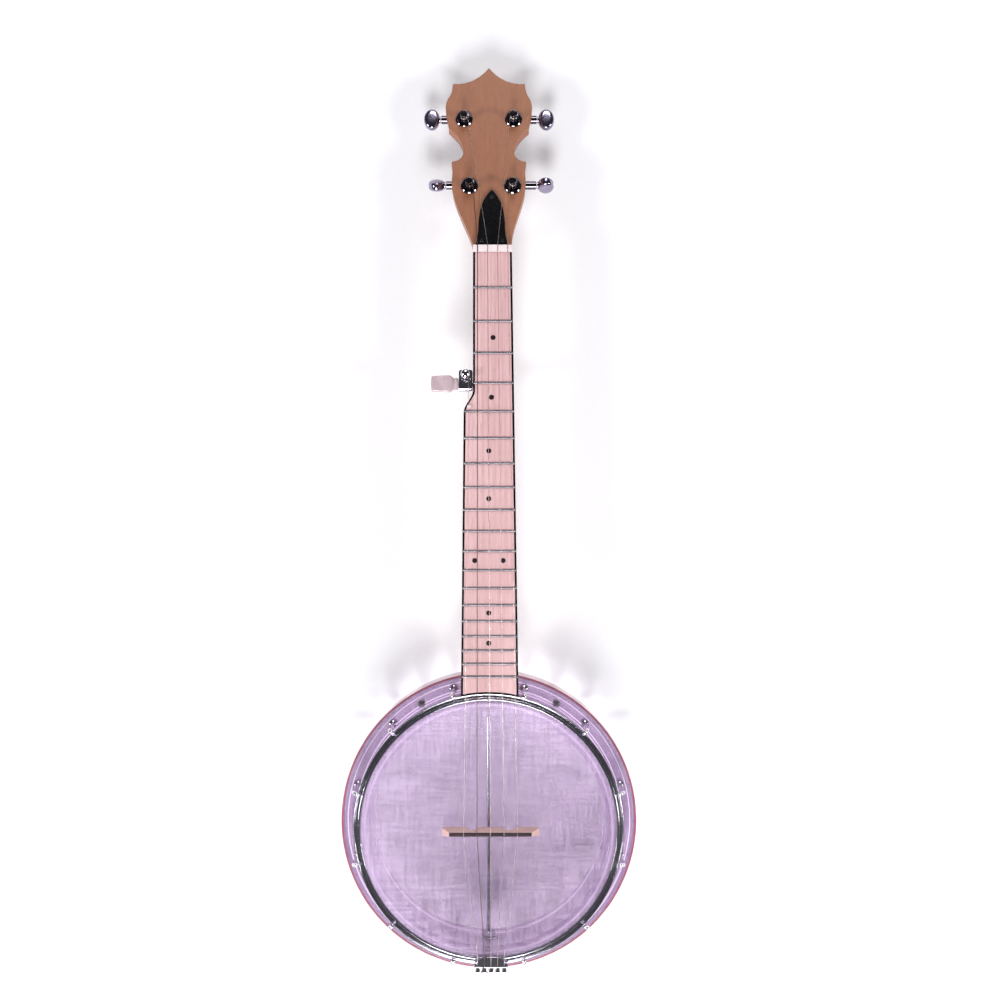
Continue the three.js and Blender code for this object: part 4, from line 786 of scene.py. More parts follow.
def make_wood(name, light, dark, scale, gloss, pore=0.3):
    """Maple or ebony: broad figure, growth lines and short pores along the neck."""
    finish = Finish(name)
    figure = finish.noise(30 * scale, 5, 0.6, (1, 0.07, 1), 0.4)
    lines = finish.noise(420 * scale, 3, 0.55, (1, 0.03, 1), 0.3)
    pores = finish.noise(1500 * scale, 2, 0.6, (1, 0.035, 1))
    tone = finish.weighted((figure, 0.6), (lines, 0.4))
    ground = finish.mixed(finish.ranged(tone, 0.3, 0.72), dark, light)
    finish.set(Base_Color=finish.mixed(finish.ranged(pores, 0.56, 0.72, 0, pore), ground, shade(dark, 0.55)))
    finish.wear(figure, gloss, gloss + 0.14)
    finish.bump(finish.weighted((lines, 0.25), (pores, 1)), 0.02, 0.35)


def make_plain(name, colour, strength, scale, low, high):
    """Moulded plastic or bone: slight mottle and worn sheen."""
    finish = Finish(name)
    worn = finish.noise(scale * 7, 3, 0.65)
    finish.mottle(finish.noise(scale, 4, 0.6), colour, shade(colour, strength))
    finish.wear(worn, low, high)
    finish.bump(worn, 0.008, 0.4)


def make_pearl(name, colour):
    """Pearly plastic with swirled bands and a clear top coat."""
    finish = Finish(name).set(Coat_Weight=0.6, Coat_Roughness=0.06)
    swirl = finish.wave(45, "DIAGONAL", 6, 3, 1.4)
    finish.set(
        Base_Color=finish.mixed(swirl, shade(colour, 0.93), shade(colour, 1.07)),
        Roughness=finish.ranged(swirl, 0, 1, 0.16, 0.3),
    )


def make_wound_wire(name, colour):
    """The wound string: a fine wrap across it."""
    finish = Finish(name).set(Metallic=1.0)
    wrap = finish.wave(330, "Y")
    # Painted shade: the wrap is darker in the grooves between its turns, which are also shaped in the bump
    finish.set(
        Base_Color=finish.mixed(wrap, shade(colour, 0.35), colour),
        Roughness=finish.ranged(wrap, 0, 1, 0.42, 0.28),
    )
    finish.bump(wrap, 0.05, 0.7)


class BANJO_OT_finishes(bpy.types.Operator):
    """Mixes the banjo's finishes from its colours"""

    bl_idname = "banjo.finishes"
    bl_label = "Finishes"

    def execute(self, context):
        colours = context.scene.banjo_colours
        make_clear_plastic("clear plastic", colours.plastic, colours.plastic_edge, colours.film)
        make_film("drum film", colours.film)
        make_plating("chrome", colours.chrome, 0.03, 0.1)
        make_plating("dark chrome", colours.dark_chrome, 0.04, 0.14)
        make_plating("button chrome", colours.button, 0.1, 0.24)
        make_brushed("collar aluminium", colours.aluminium, (0.3, 0.3, 4), 0.22, 0.4)
        make_brushed("screw steel", colours.steel, (1, 1, 1), 0.3, 0.5)
        make_brushed("fret metal", colours.fret, (0.1, 1, 1), 0.14, 0.3)
        make_brushed("string wire", colours.wire, (1, 0.05, 1), 0.26, 0.38)
        make_wound_wire("wound wire", colours.wound_wire)
        make_wood("neck maple", colours.maple_light, colours.maple_dark, 1, 0.34)
        make_wood("board maple", colours.board_light, colours.board_dark, 1.25, 0.42, 0.5)
        make_wood("bridge maple", colours.bridge_light, colours.bridge_dark, 1.6, 0.5)
        make_wood("cap ebony", colours.ebony_light, colours.ebony_dark, 2, 0.36)
        make_plain("black plastic", colours.black, 1.8, 60, 0.12, 0.22)
        make_plain("marker", colours.marker, 0.6, 500, 0.3, 0.45)
        make_plain("bone", colours.bone, 0.86, 220, 0.28, 0.42)
        make_pearl("pearl plastic", colours.pearl)
        floor = Finish("floor").set(Roughness=0.75)
        floor.mottle(floor.noise(260, 3), colours.floor, shade(colours.floor, 0.985))
        return {"FINISHED"}


# Pot


def make_resonator(pot):
    radius, wall, corner = pot.resonator_radius, pot.resonator_wall, pot.resonator_corner
    top = pot.resonator_depth
    inside, foot, inner = radius - wall, radius - corner, corner - wall
    outer_bend = arc((foot, corner), (corner, corner), -90, 0, 8)[1:-1]
    inner_bend = arc((inside - inner, wall + inner), (inner, inner), 0, -90, 6)[1:]
    lip = rounded([(radius, corner), (radius, top), (inside, top), (inside, corner)], 0.7 * MM, ring=False)
    profile = [(0, 0), (foot, 0), *outer_bend, *lip, *inner_bend, (0, wall)]
    return turn("resonator_dish", profile, TURNED_STEPS)


def to_neck(fittings):
    """Lays what stands on the pot's axis down towards the neck, at the rod's height."""
    return shift(0, 0, fittings.rod_height) @ spun("X", -90)


def to_tail(fittings):
    return shift(0, 0, fittings.rod_height) @ spun("X", 90)


def make_rim(pot, fittings):
    outer, edge = pot.rim_radius, pot.resonator_radius
    inner, chamfer = outer - pot.rim_wall, 1.3 * MM
    base, low, high, top = pot.rim_bottom, pot.flange_bottom, pot.flange_top, pot.bearing_top
    rim = turned("rim_with_flange", [
        (inner, base), (outer, base), (outer, low), (edge, low), (edge, high), (outer, high),
        (outer, top - chamfer), (outer - chamfer, top), (outer - 4.6 * MM, top - 1.05 * MM),
        (inner, top - 3.2 * MM),
    ], 0.6 * MM, TURNED_STEPS, ring=True)
    hook_hole = bar("hook_hole", HOOK_BORE, low - PAST, high + PAST)
    screw_hole = bar("screw_hole", SCREW_BORE, low - PAST, high + PAST)
    hook_holes = many(hook_hole, round_pot(fittings.hook_circle, HOOK_ANGLES))
    screw_holes = many(screw_hole, round_pot(fittings.screw_circle, SCREW_ANGLES))
    neck_hole = bar("neck_hole", BOLT_BORE, inner - PAST, outer + PAST)
    tail_hole = bar("tail_hole", ROD_BORE, inner - PAST, outer + PAST)
    settle(neck_hole, to_neck(fittings))
    settle(tail_hole, to_tail(fittings))
    return cut(rim, hook_holes, screw_holes, neck_hole, tail_hole)


class BANJO_OT_clear_pot(bpy.types.Operator):
    """Makes the clear resonator with its screw bosses, and the rim with its flange"""

    bl_idname = "banjo.clear_pot"
    bl_label = "Clear pot"

    def execute(self, context):
        pot, fittings = context.scene.banjo_pot, context.scene.banjo_fittings
        dish, top = make_resonator(pot), pot.resonator_depth
        places = round_pot(fittings.screw_circle, SCREW_ANGLES)
        bosses = many(bar("boss", 4.5 * MM, pot.resonator_wall / 2, top), places)
        bores = many(bar("bore", SCREW_BORE, top - 16 * MM, top + MM), places)
        cut(weld(dish, bosses), bores)
        fit(dish, "clear plastic", "resonator")
        rim = fit(make_rim(pot, fittings), "clear plastic", "rim_and_flange")
        for piece in (dish, rim):
            piece.visible_shadow = False
        return {"FINISHED"}


class BANJO_OT_drum_head(bpy.types.Operator):
    """Makes the drum head with its skirt, and the collar under the hoop"""

    bl_idname = "banjo.drum_head"
    bl_label = "Drum head and collar"

    def execute(self, context):
        pot = context.scene.banjo_pot
        top, film, inside = pot.head_top, pot.head_film, pot.collar_inner
        outer = inside - GAP
        inner, low, bend = outer - film, top - pot.head_skirt, 1.6 * MM
        under = rounded([(0, top - film), (inner, top - film), (inner, low)], bend, 5, ring=False)
        over = rounded([(outer, low), (outer, top), (0, top)], bend, 5, ring=False)
        head = turn("drum_head_film", [*under, *over], TURNED_STEPS)
        fit(head, "drum film", "drum_head")
        head.visible_shadow = False
        section = oblong(inside, inside + pot.collar_wall, pot.collar_bottom, pot.collar_top)
        collar = turned("head_collar_ring", section, 0.35 * MM, TURNED_STEPS, ring=True)
        fit(collar, "collar aluminium", "head_collar")
        return {"FINISHED"}


# Hoop, hooks, screws, rod and tail


class BANJO_OT_hoop(bpy.types.Operator):
    """Makes the grooved tension hoop"""

    bl_idname = "banjo.hoop"
    bl_label = "Tension hoop"

    def execute(self, context):
        fittings = context.scene.banjo_fittings
        inner, outer = context.scene.banjo_pot.collar_inner, fittings.hoop_outer
        low, top = fittings.hoop_bottom, fittings.hoop_top
        lip, floor, groove_outer = top - LIP_DROP, top - 2.6 * MM, outer - GROOVE_WALL
        groove_inner = groove_outer - GROOVE_WIDTH
        profile = rounded([
            (inner, low), (outer, low), (outer, lip), (groove_outer, lip),
            (groove_outer, floor), (groove_inner, floor), (groove_inner, top), (inner, top),
        ], 0.45 * MM, 4)
        fit(turn("tension_hoop_ring", profile, TURNED_STEPS, ring=True), "chrome", "tension_hoop")
        return {"FINISHED"}


def hex_nut(name, across, low, high):
    """A nut with chamfered corners: a hexagonal bar trimmed by a turned blank."""
    corner, flat = across / math.sqrt(3), across * 0.47
    drop_at_corner = (corner - flat) * 0.5
    nut = bar(name, corner, low, high, 6)
    near, far = low + drop_at_corner, high - drop_at_corner
    profile = [(0, low), (flat, low), (corner, near), (corner, far), (flat, high), (0, high)]
    return combine(nut, "INTERSECT", turn("blank", profile, steps=48))


def make_hook(pot, fittings):
    """A hook bent over the hoop, with its nut below the flange and a collar on it."""
    circle, half, tip, seat = fittings.hook_circle, fittings.hook_thickness / 2, 0.75 * MM, pot.flange_top
    claw = fittings.hoop_outer - GROOVE_WALL - GROOVE_WIDTH / 2
    bend = (circle - claw) / 2
    low = fittings.hoop_top - LIP_DROP + 0.5 * MM + half - bend
    nut_top = pot.flange_bottom - GAP
    over = arc((circle - bend, low), (bend, bend), 0, 180, 16)
    end, claw_end = nut_top - 15 * MM, fittings.hoop_top - 2.25 * MM
    line = [(circle, end), (circle, end + 0.4 * MM), *over, (claw, claw_end)]
    slimming = [blend(half, tip, eased((i / 16 - 0.4) / 0.4)) for i in range(17)]
    hook = round_wire("hook", [(0, y, z) for y, z in line], [half * 0.75, half, *slimming, tip], 16)
    nut = hex_nut("hook_nut", fittings.hook_nut, nut_top - 7 * MM, nut_top)
    collar = turned("hook_collar", [
        (half + 0.06 * MM, seat + 0.02 * MM), (3 * MM, seat + 0.02 * MM), (3 * MM, seat + 0.4 * MM),
        (2.2 * MM, seat + 0.9 * MM), (half + 0.06 * MM, seat + 0.9 * MM),
    ], 0.2 * MM, steps=32, ring=True)
    out = shift(0, circle, 0)
    return join(hook, settle(nut, out), settle(collar, out))


class BANJO_OT_hooks(bpy.types.Operator):
    """Makes one bent hook with its nut and copies it round the pot"""

    bl_idname = "banjo.hooks"
    bl_label = "Hooks and nuts"

    def execute(self, context):
        hook = make_hook(context.scene.banjo_pot, context.scene.banjo_fittings)
        places = [spun("Z", degrees) for degrees in HOOK_ANGLES]
        spread(hook, "bent_hook_{:02d}", places, "chrome", "hook_and_nut_{:02d}")
        return {"FINISHED"}


def cross_recess(width, reach, low, high):
    first = box("recess", (-reach, -width / 2, low), (reach, width / 2, high))
    return weld(first, copy_of(first, "recess", spun("Z", 90)))


class BANJO_OT_resonator_screws(bpy.types.Operator):
    """Makes the four cross-head screws that hold the resonator"""

    bl_idname = "banjo.resonator_screws"
    bl_label = "Resonator screws"

    def execute(self, context):
        pot, fittings = context.scene.banjo_pot, context.scene.banjo_fittings
        under, radius, shank = pot.flange_top + GAP, fittings.screw_head, 1.6 * MM
        end = pot.flange_top - 19.2 * MM
        dome = arc((0, under + 0.5 * MM), (radius, 1.3 * MM), 0, 75, 5)
        profile = [(0, end), (shank, end), (shank, under), (radius, under), *dome, (0, under + 1.8 * MM)]
        screw = turn("screw", profile, steps=32)
        cut(screw, cross_recess(0.8 * MM, 1.7 * MM, under + 0.9 * MM, under + 3 * MM))
        places = round_pot(fittings.screw_circle, SCREW_ANGLES)
        spread(screw, "cross_head_screw_{}", places, "screw steel", "resonator_screw_{}")
        return {"FINISHED"}


def inside_wall(pot, half_width):
    """How far from the axis a flat end of this half width can go inside the rim."""
    inner = (pot.rim_radius - pot.rim_wall) * math.cos(math.pi / SOLID_STEPS)
    return math.sqrt(inner * inner - half_width * half_width) - GAP


class BANJO_OT_rod_and_bolts(bpy.types.Operator):
    """Makes the coordinator rod, its nuts and washer, and the neck bolt"""

    bl_idname = "banjo.rod_and_bolts"
    bl_label = "Coordinator rod"

    def execute(self, context):
        pot, fittings = context.scene.banjo_pot, context.scene.banjo_fittings
        radius, outside = fittings.rod_radius, pot.rim_radius
        bore, nut_across, washer, washer_thick = radius + GAP, 9.6 * MM, 7.3 * MM, 1.6 * MM
        block_across, shank = 8 * MM, SCREW_BORE
        end = -inside_wall(pot, block_across / 2)
        rod = turned("round_rod", oblong(0, radius, end + 7.7 * MM, outside + 8.5 * MM), 0.4 * MM)
        cross_hole = bar("cross_hole", 0.8 * MM, -9 * MM, 9 * MM, 20)
        cut(rod, settle(cross_hole, shift(0, 0, -17 * MM) @ spun("Y", 90)))
        block = settle(hex_nut("rod_block", block_across, end, end + 8 * MM), spun("Z", 30))
        cut(block, bar("block_bore", BOLT_BORE, end - MM, end + 6 * MM, 24))
        fit(settle(join(rod, block), to_tail(fittings)), "chrome", "coordinator_rod")
        wall = inside_wall(pot, washer)
        inward = wall - washer_thick
        ring = turned("washer_and_nut", oblong(bore, washer, inward, wall), 0.4 * MM, ring=True)
        nut = hex_nut("inner_nut", nut_across, wall - 6.2 * MM, inward)
        cut(nut, bar("nut_bore", bore, wall - 8 * MM, wall))
        fit(settle(join(ring, nut), to_tail(fittings)), "chrome", "rod_inner_nut")
        start = outside + 2.4 * MM
        nut = hex_nut("outer_nut", nut_across, start, start + 4.6 * MM)
        cut(nut, bar("nut_bore", bore, start - MM, start + 6 * MM))
        fit(settle(nut, to_tail(fittings)), "chrome", "rod_outer_nut")
        section = oblong(0, shank, -end - 5.7 * MM, outside + 18 * MM)
        bolt = turned("heel_bolt", section, 0.4 * MM, steps=32)
        fit(settle(bolt, to_neck(fittings)), "screw steel", "neck_bolt")
        return {"FINISHED"}


def make_hanger(pot, fittings):
    """A strap bent from the rod's end to a shelf, with an upright bolt on the shelf."""
    face, end, thick = -pot.rim_radius - GAP, -pot.rim_radius - 12 * MM, 1.8 * MM
    low, shelf = pot.flange_top + MM, pot.collar_bottom - 2 * MM
    strap = slab("bent_hanger", rounded([
        (face, low), (face, shelf), (end, shelf),
        (end, shelf - thick), (face - thick, shelf - thick), (face - thick, low),
    ], 0.6 * MM), -6 * MM, 6 * MM)
    soften(settle(strap, ON_EDGE), 0.3 * MM, 2)
    bolt = bar("hanger_bolt", 1.5 * MM, shelf - thick / 2, fittings.tail_bottom - GAP)
    weld(strap, settle(bolt, shift(fittings.tail_middle, TAIL_BOLT, 0)))
    bore = bar("strap_bore", ROD_BORE, pot.rim_radius - PAST, -end)
    return cut(strap, settle(bore, to_tail(fittings)))


def make_tailpiece(fittings):
    """A plate with a crowned front edge, and five prongs that curl down over its back."""
    low, thick, half = fittings.tail_bottom, fittings.tail_thickness, fittings.tail_width / 2
    shoulder, notch, rise = half - 2.4 * MM, half - 0.3 * MM, TAIL_FRONT - TAIL_SIDE
    crown = [
        (shoulder * math.cos(math.pi * i / 16), TAIL_SIDE + rise * math.sin(math.pi * i / 16) ** 0.8)
        for i in range(1, 16)
    ]
    outline = [
        (half, TAIL_BACK), (notch, TAIL_BACK + 2.2 * MM), (shoulder, TAIL_SIDE), *crown,
        (-shoulder, TAIL_SIDE), (-notch, TAIL_BACK + 2.2 * MM), (-half, TAIL_BACK),
    ]
    plate = soften(slab("tail_plate", outline, low, low + thick), 0.45 * MM, 3, 50)
    wide, top, root = fittings.prong_width, low + thick, TAIL_BACK + 1.2 * MM
    level, curl = top - 0.1 * MM, top - 2.6 * MM
    finger = slab("prong", rounded([
        (root, low), (root, level), (TAIL_TIP + 1.2 * MM, level), (TAIL_TIP, top - 1.4 * MM),
        (TAIL_TIP, curl), (TAIL_TIP + TIP_THICKNESS, curl), (TAIL_TIP + 1.8 * MM, low),
    ], 1.1 * MM), -wide / 2, wide / 2)
    soften(settle(finger, ON_EDGE), 1.1 * MM, 5)
    fingers = many(finger, [shift(step * fittings.prong_pitch, 0, 0) for step in range(-2, 3)])
    section = oblong(1.8 * MM, 2.3 * MM, low - 3 * MM, low + 0.4 * MM)
    boss = turned("boss", section, 0.2 * MM, steps=32, ring=True)
    settle(boss, shift(0, TAIL_BOLT, 0))
    return settle(join(plate, fingers, boss), shift(fittings.tail_middle, 0, 0))


class BANJO_OT_tailpiece(bpy.types.Operator):
    """Makes the tailpiece and the bent hanger that holds it"""

    bl_idname = "banjo.tailpiece"
    bl_label = "Tailpiece and hanger"

    def execute(self, context):
        fittings = context.scene.banjo_fittings
        fit(make_hanger(context.scene.banjo_pot, fittings), "chrome", "tailpiece_hanger")
        fit(make_tailpiece(fittings), "chrome", "tailpiece")
        return {"FINISHED"}


class BANJO_OT_bridge(bpy.types.Operator):
    """Softens the bridge and its dark cap"""

    bl_idname = "banjo.bridge"
    bl_label = "Bridge"

    def execute(self, context):
        feet = soften(node_copy("bridge", "bridge_feet"), 0.5 * MM, 3)
        cap = soften(node_copy("bridge_cap", "bridge_top"), 0.1 * MM, 2)
        fit(feet, "bridge maple", "bridge")
        fit(cap, "cap ebony", "bridge_cap")
        return {"FINISHED"}


# Neck


def neck_place(neck):
    return shift(0, 0, neck.top_at_axis) @ spun("X", -NECK_PITCH)


def head_place(neck):
    return neck_place(neck) @ shift(0, neck.head_start, 0) @ spun("X", -HEAD_PITCH)


def fret_place(neck, number):
    return neck.nut_front - neck.scale_length * (1 - 2 ** (-number / 12))


def peg_place(neck):
    return fret_place(neck, 5) + PEG_PAST_FRET


def pip_place(neck):
    return shift(-15.3 * MM, fret_place(neck, 5) + 3.75 * MM, 0)


def left_edge(neck, y):
    shoulder = peg_place(neck) - SHOULDER_BEFORE_PEG
    share = eased((shoulder - y) / SHOULDER_LENGTH)
    if share < 1:
        return blend(LEFT_AT_NUT, LEFT_BELOW_PEG, share)
    below = shoulder - SHOULDER_LENGTH
    return blend(LEFT_BELOW_PEG, LEFT_AT_POT, min((below - y) / (below - POT_END), 1))


def right_edge(neck, y):
    return blend(RIGHT_AT_NUT, RIGHT_AT_POT, min((neck.nut_back - y) / (neck.nut_back - POT_END), 1))


def neck_depth(neck, y):
    if y > HEEL_START:
        return blend(DEPTH_AT_HEEL, DEPTH_AT_NUT, (y - HEEL_START) / (neck.nut_back - HEEL_START))
    return blend(DEPTH_AT_HEEL, neck.heel_depth, eased((HEEL_START - y) / HEEL_LENGTH))


def neck_section(y, top, depth, left, right, points=28, fullness=0.8):
    """A section across the neck, flat above and rounded below. A fullness of 1 is half an oval."""
    half = (right - left) / 2
    section = []
    for i in range(points + 1):
        angle = math.pi * i / points
        across = math.copysign(abs(math.cos(angle)) ** fullness, math.cos(angle))
        section.append((left + half - half * across, y, top - depth * abs(math.sin(angle)) ** fullness))
    return section


HEADSTOCK_CURVES = (
    ((0.5, 0.12), (0.84, 0.235), (0.84, 0.35)),
    ((0.83, 0.4), (0.81, 0.42), (0.857, 0.462)),
    ((0.5, 0.462), (0.45, 0.56), (0.92, 0.647)),
    ((0.905, 0.698), (1.071, 0.75), (0.94, 0.813)),
    ((0.857, 0.841), (0.834, 0.866), (0.834, 0.897)),
    ((0.514, 0.891), (0.229, 0.92), (0, 0.988)),
)
COVER_CURVES = (((0.93, 0.09), (0.84, 0.18), (0.83, 0.3)), ((0.82, 0.6), (0.63, 0.82), (0, 1)))
TUNER_SHARES = {
    "upper_left": (-0.5657, 0.6961),
    "upper_right": (0.5657, 0.6961),
    "lower_left": (-0.44, 0.326),
    "lower_right": (0.5428, 0.326),
}
MARKERS = (
    (3.5, 385.3), (2.3, 338.5), (0.2, 296.6), (0.2, 259.2),
    (-10.8, 210.9), (11.4, 210.9), (0.2, 170.0), (0.2, 146.5),
)
COVER_SCREWS = ((0, 40.4), (-8, 3.6), (8.2, 3.6))


def tuner_middle(neck, place):
    across, along = TUNER_SHARES[place]
    return across * neck.head_half_width, along * neck.head_length


def tuner_place(neck, place):
    return head_place(neck) @ shift(*tuner_middle(neck, place), 0)


def make_shaft(neck):
    """The neck's shaft and heel: rounded sections bridged from the headstock to the pot."""
    lean = math.radians(HEAD_PITCH)
    head_top = -HEAD_OVERLAP * math.tan(lean) - GAP
    head_depth = neck.head_thickness / math.cos(lean) - 0.8 * MM
    sections = [neck_section(neck.head_start + HEAD_OVERLAP, head_top, head_depth, LEFT_AT_NUT, RIGHT_AT_NUT)]
    shoulder = peg_place(neck) - SHOULDER_BEFORE_PEG
    below = shoulder - SHOULDER_LENGTH
    stations = [neck.nut_back, (neck.nut_back + shoulder) / 2]
    stations += [shoulder - SHOULDER_LENGTH * i / 10 for i in range(11)]
    stations += [blend(below, HEEL_START, i / 4) for i in range(1, 4)]
    stations += [HEEL_START - HEEL_LENGTH * i / 14 for i in range(15)]
    for y in (*stations, NECK_END):
        sections.append(neck_section(y, 0, neck_depth(neck, y), left_edge(neck, y), right_edge(neck, y)))
    rings = []
    for section in sections:
        rings.append(draw_line("neck_section", section, close=True))
        bpy.ops.mesh.delete(type="ONLY_FACE")
        bpy.ops.object.mode_set(mode="OBJECT")
    shaft = join(*rings)
    shaft.name = "neck_with_headstock"
    open_mesh(shaft)
    bpy.ops.mesh.bridge_edge_loops()
    bpy.ops.mesh.select_all(action="DESELECT")
    bpy.ops.mesh.select_mode(type="EDGE")
    bpy.ops.mesh.select_non_manifold()
    bpy.ops.mesh.edge_face_add()
    bpy.ops.mesh.select_mode(type="VERT")
    close_mesh()
    return shaft


def make_headstock(neck):
    right = bezier_side(RIGHT_AT_NUT, HEADSTOCK_CURVES, neck.head_half_width, neck.head_length)
    left = bezier_side(LEFT_AT_NUT, HEADSTOCK_CURVES, -neck.head_half_width, neck.head_length)
    head = slab("headstock", mirrored(right, left), -neck.head_thickness, 0)
    return settle(soften(head, 0.9 * MM, 3, 50), head_place(neck))


class BANJO_OT_neck(bpy.types.Operator):
    """Makes the neck with its heel and headstock, drilled and cut for what it carries"""

    bl_idname = "banjo.neck"
    bl_label = "Neck and headstock"

    def execute(self, context):
        scene = context.scene
        pot, neck, fittings = scene.banjo_pot, scene.banjo_neck, scene.banjo_fittings
        shaft = settle(make_shaft(neck), neck_place(neck))
        weld(shaft, make_headstock(neck))
        half, peg = 3.2 * MM, peg_place(neck)
        channel = box("channel", (-half, 114 * MM, -8.2 * MM), (half, neck.head_start + 13 * MM, 4 * MM))
        settle(channel, neck_place(neck) @ shift(NECK_MIDDLE, 0, 0))
        post_hole = bar("post_hole", 4.6 * MM, -neck.head_thickness - 4 * MM, 4 * MM)
        holes = [copy_of(post_hole, "post_hole", tuner_place(neck, place)) for place in PLACES]
        drop(post_hole)
        at_peg = neck_place(neck) @ shift(left_edge(neck, peg), peg + PEG_WORM[1], -8.2 * MM) @ spun("Y", 90)
        peg_hole = settle(bar("peg_hole", 3.3 * MM, -3 * MM, 9.3 * MM), at_peg)
        bolt_hole = bar("bolt_hole", BOLT_BORE, 90 * MM, pot.rim_radius + 18 * MM + GAP)
        settle(bolt_hole, to_neck(fittings))
        steps, hoop_low = 192, pot.collar_bottom - 3.5 * MM
        room = [
            bar("rim_room", pot.rim_radius + GAP, -40 * MM, 120 * MM, steps),
            bar("hoop_room", fittings.hoop_outer + 2 * GAP, hoop_low, 121 * MM, steps),
            bar("flange_room", pot.resonator_radius + 2 * MM, -41 * MM, pot.flange_top + GAP, steps),
        ]
        cut(shaft, channel, *holes, peg_hole, bolt_hole, *room)
        fit(shaft, "neck maple", "neck", angle=32)
        return {"FINISHED"}


def board_edge(neck, inset):
    """The fingerboard's outline: its right front corner, its round end and its left side."""
    radius, near_end = BOARD_END + inset, 0.1
    right, left = right_edge(neck, near_end) - inset, left_edge(neck, near_end) + inset
    across = [blend(right, left, i / 24) for i in range(25)]
    end = [(x, math.sqrt(radius * radius - x * x)) for x in across]
    below = peg_place(neck) - SHOULDER_BEFORE_PEG - SHOULDER_LENGTH
    front = neck.nut_front - GAP
    side = [*[below + SHOULDER_LENGTH * i / 14 for i in range(15)], front]
    return [
        (right_edge(neck, front) - inset, front), *end, *[(left_edge(neck, y) + inset, y) for y in side]
    ]


def make_frets(neck):
    """One fret a millimetre wide, copied and stretched to each place on the board."""
    half, top = neck.fret_width / 2, neck.board_thickness
    crown = arc((0, top), (half, neck.fret_height), 0, 180, 8)
    blank = slab("fret_blank", [(half, top - 0.5 * MM), *crown, (-half, top - 0.5 * MM)], 0, MM)
    settle(blank, ON_EDGE)
    frets = []
    for number in range(1, FRETS + 1):
        y = fret_place(neck, number)
        left = max(left_edge(neck, y - half), left_edge(neck, y + half)) + 0.25 * MM
        right = min(right_edge(neck, y - half), right_edge(neck, y + half)) - 0.25 * MM
        place = shift(left, y, 0) @ Matrix.Diagonal(((right - left) / MM, 1, 1, 1))
        fret = copy_of(blank, f"fret_{number:02d}", place)
        frets.append(soften(fret, 0.3 * MM, 3, 50))
    drop(blank)
    return frets


class BANJO_OT_fingerboard(bpy.types.Operator):
    """Makes the fingerboard, its binding, nineteen crowned frets and the position markers"""

    bl_idname = "banjo.fingerboard"
    bl_label = "Fingerboard"

    def execute(self, context):
        neck = context.scene.banjo_neck
        place, low, top = neck_place(neck), GAP, neck.board_thickness
        board = slab("board_wood", board_edge(neck, neck.binding_width + 0.15 * MM), low, top)
        cut(board, settle(bar("pip_hole", MM, top - 2.3 * MM, top + MM, 24), pip_place(neck)))
        fit(settle(board, place), "board maple", "fingerboard")
        loop = [*board_edge(neck, 0), *reversed(board_edge(neck, neck.binding_width))]
        binding = soften(slab("board_binding", loop, low, top), 0.2 * MM, 2, 60)
        fit(settle(binding, place), "black plastic", "fingerboard_binding")
        for fret in make_frets(neck):
            fit(settle(fret, place), "fret metal")
        section = oblong(0, neck.marker_radius, top - 0.4 * MM, top + 0.06 * MM)
        marker = turned("marker_blank", section, 0.05 * MM)
        places = [place @ shift(x * MM, y * MM, 0) for x, y in MARKERS]
        spread(marker, "marker_{}", places, "marker")
        return {"FINISHED"}


class BANJO_OT_nut_and_pip(bpy.types.Operator):
    """Softens the nut and the truss rod, and turns the fifth string's pip"""

    bl_idname = "banjo.nut_and_pip"
    bl_label = "Nut, pip and truss rod"

    def execute(self, context):
        neck = context.scene.banjo_neck
        fit(soften(node_copy("nut", "slotted_nut"), 0.25 * MM, 3), "bone", "nut")
        rod = soften(node_copy("truss_rod", "truss_rod_and_nut"), 0.15 * MM, 2)
        fit(rod, "screw steel", "truss_rod")
        top, stem, head = neck.board_thickness, 0.8 * MM, 1.5 * MM
        pip = turned("string_pip", [
            (0, top - 2 * MM), (stem, top - 2 * MM), (stem, top + 0.3 * MM),
            (head, top + 0.3 * MM), (head, top + 1.9 * MM), (0, top + 1.9 * MM),
        ], 0.45 * MM, steps=32)
        fit(settle(pip, neck_place(neck) @ pip_place(neck)), "bone", "fifth_string_pip")
        return {"FINISHED"}


class BANJO_OT_truss_cover(bpy.types.Operator):
    """Makes the truss rod cover with its three screws"""

    bl_idname = "banjo.truss_cover"
    bl_label = "Truss rod cover"

    def execute(self, context):
        place = head_place(context.scene.banjo_neck) @ shift(NECK_MIDDLE, 0, 0)
        right = bezier_side(COVER_WIDTH, COVER_CURVES, COVER_WIDTH, COVER_LENGTH)
        left = bezier_side(-COVER_WIDTH, COVER_CURVES, -COVER_WIDTH, COVER_LENGTH)
        cover = slab("bell_cover", mirrored(right, left), GAP, 2.1 * MM)
        soften(cover, 0.5 * MM, 3, 50)
        fit(settle(cover, place), "black plastic", "truss_rod_cover")
        screw = turned("cover_screw", [
            (0, 1.9 * MM), (1.5 * MM, 1.9 * MM), (1.5 * MM, 2.3 * MM), (0.9 * MM, 2.75 * MM), (0, 2.8 * MM)
        ], 0.3 * MM, steps=32)
        cut(screw, cross_recess(0.4 * MM, 0.9 * MM, 2.4 * MM, 4 * MM))
        places = [place @ shift(x * MM, y * MM, 0) for x, y in COVER_SCREWS]
        spread(screw, "cover_screw_{}", places, "black plastic")
        return {"FINISHED"}


# Tuners


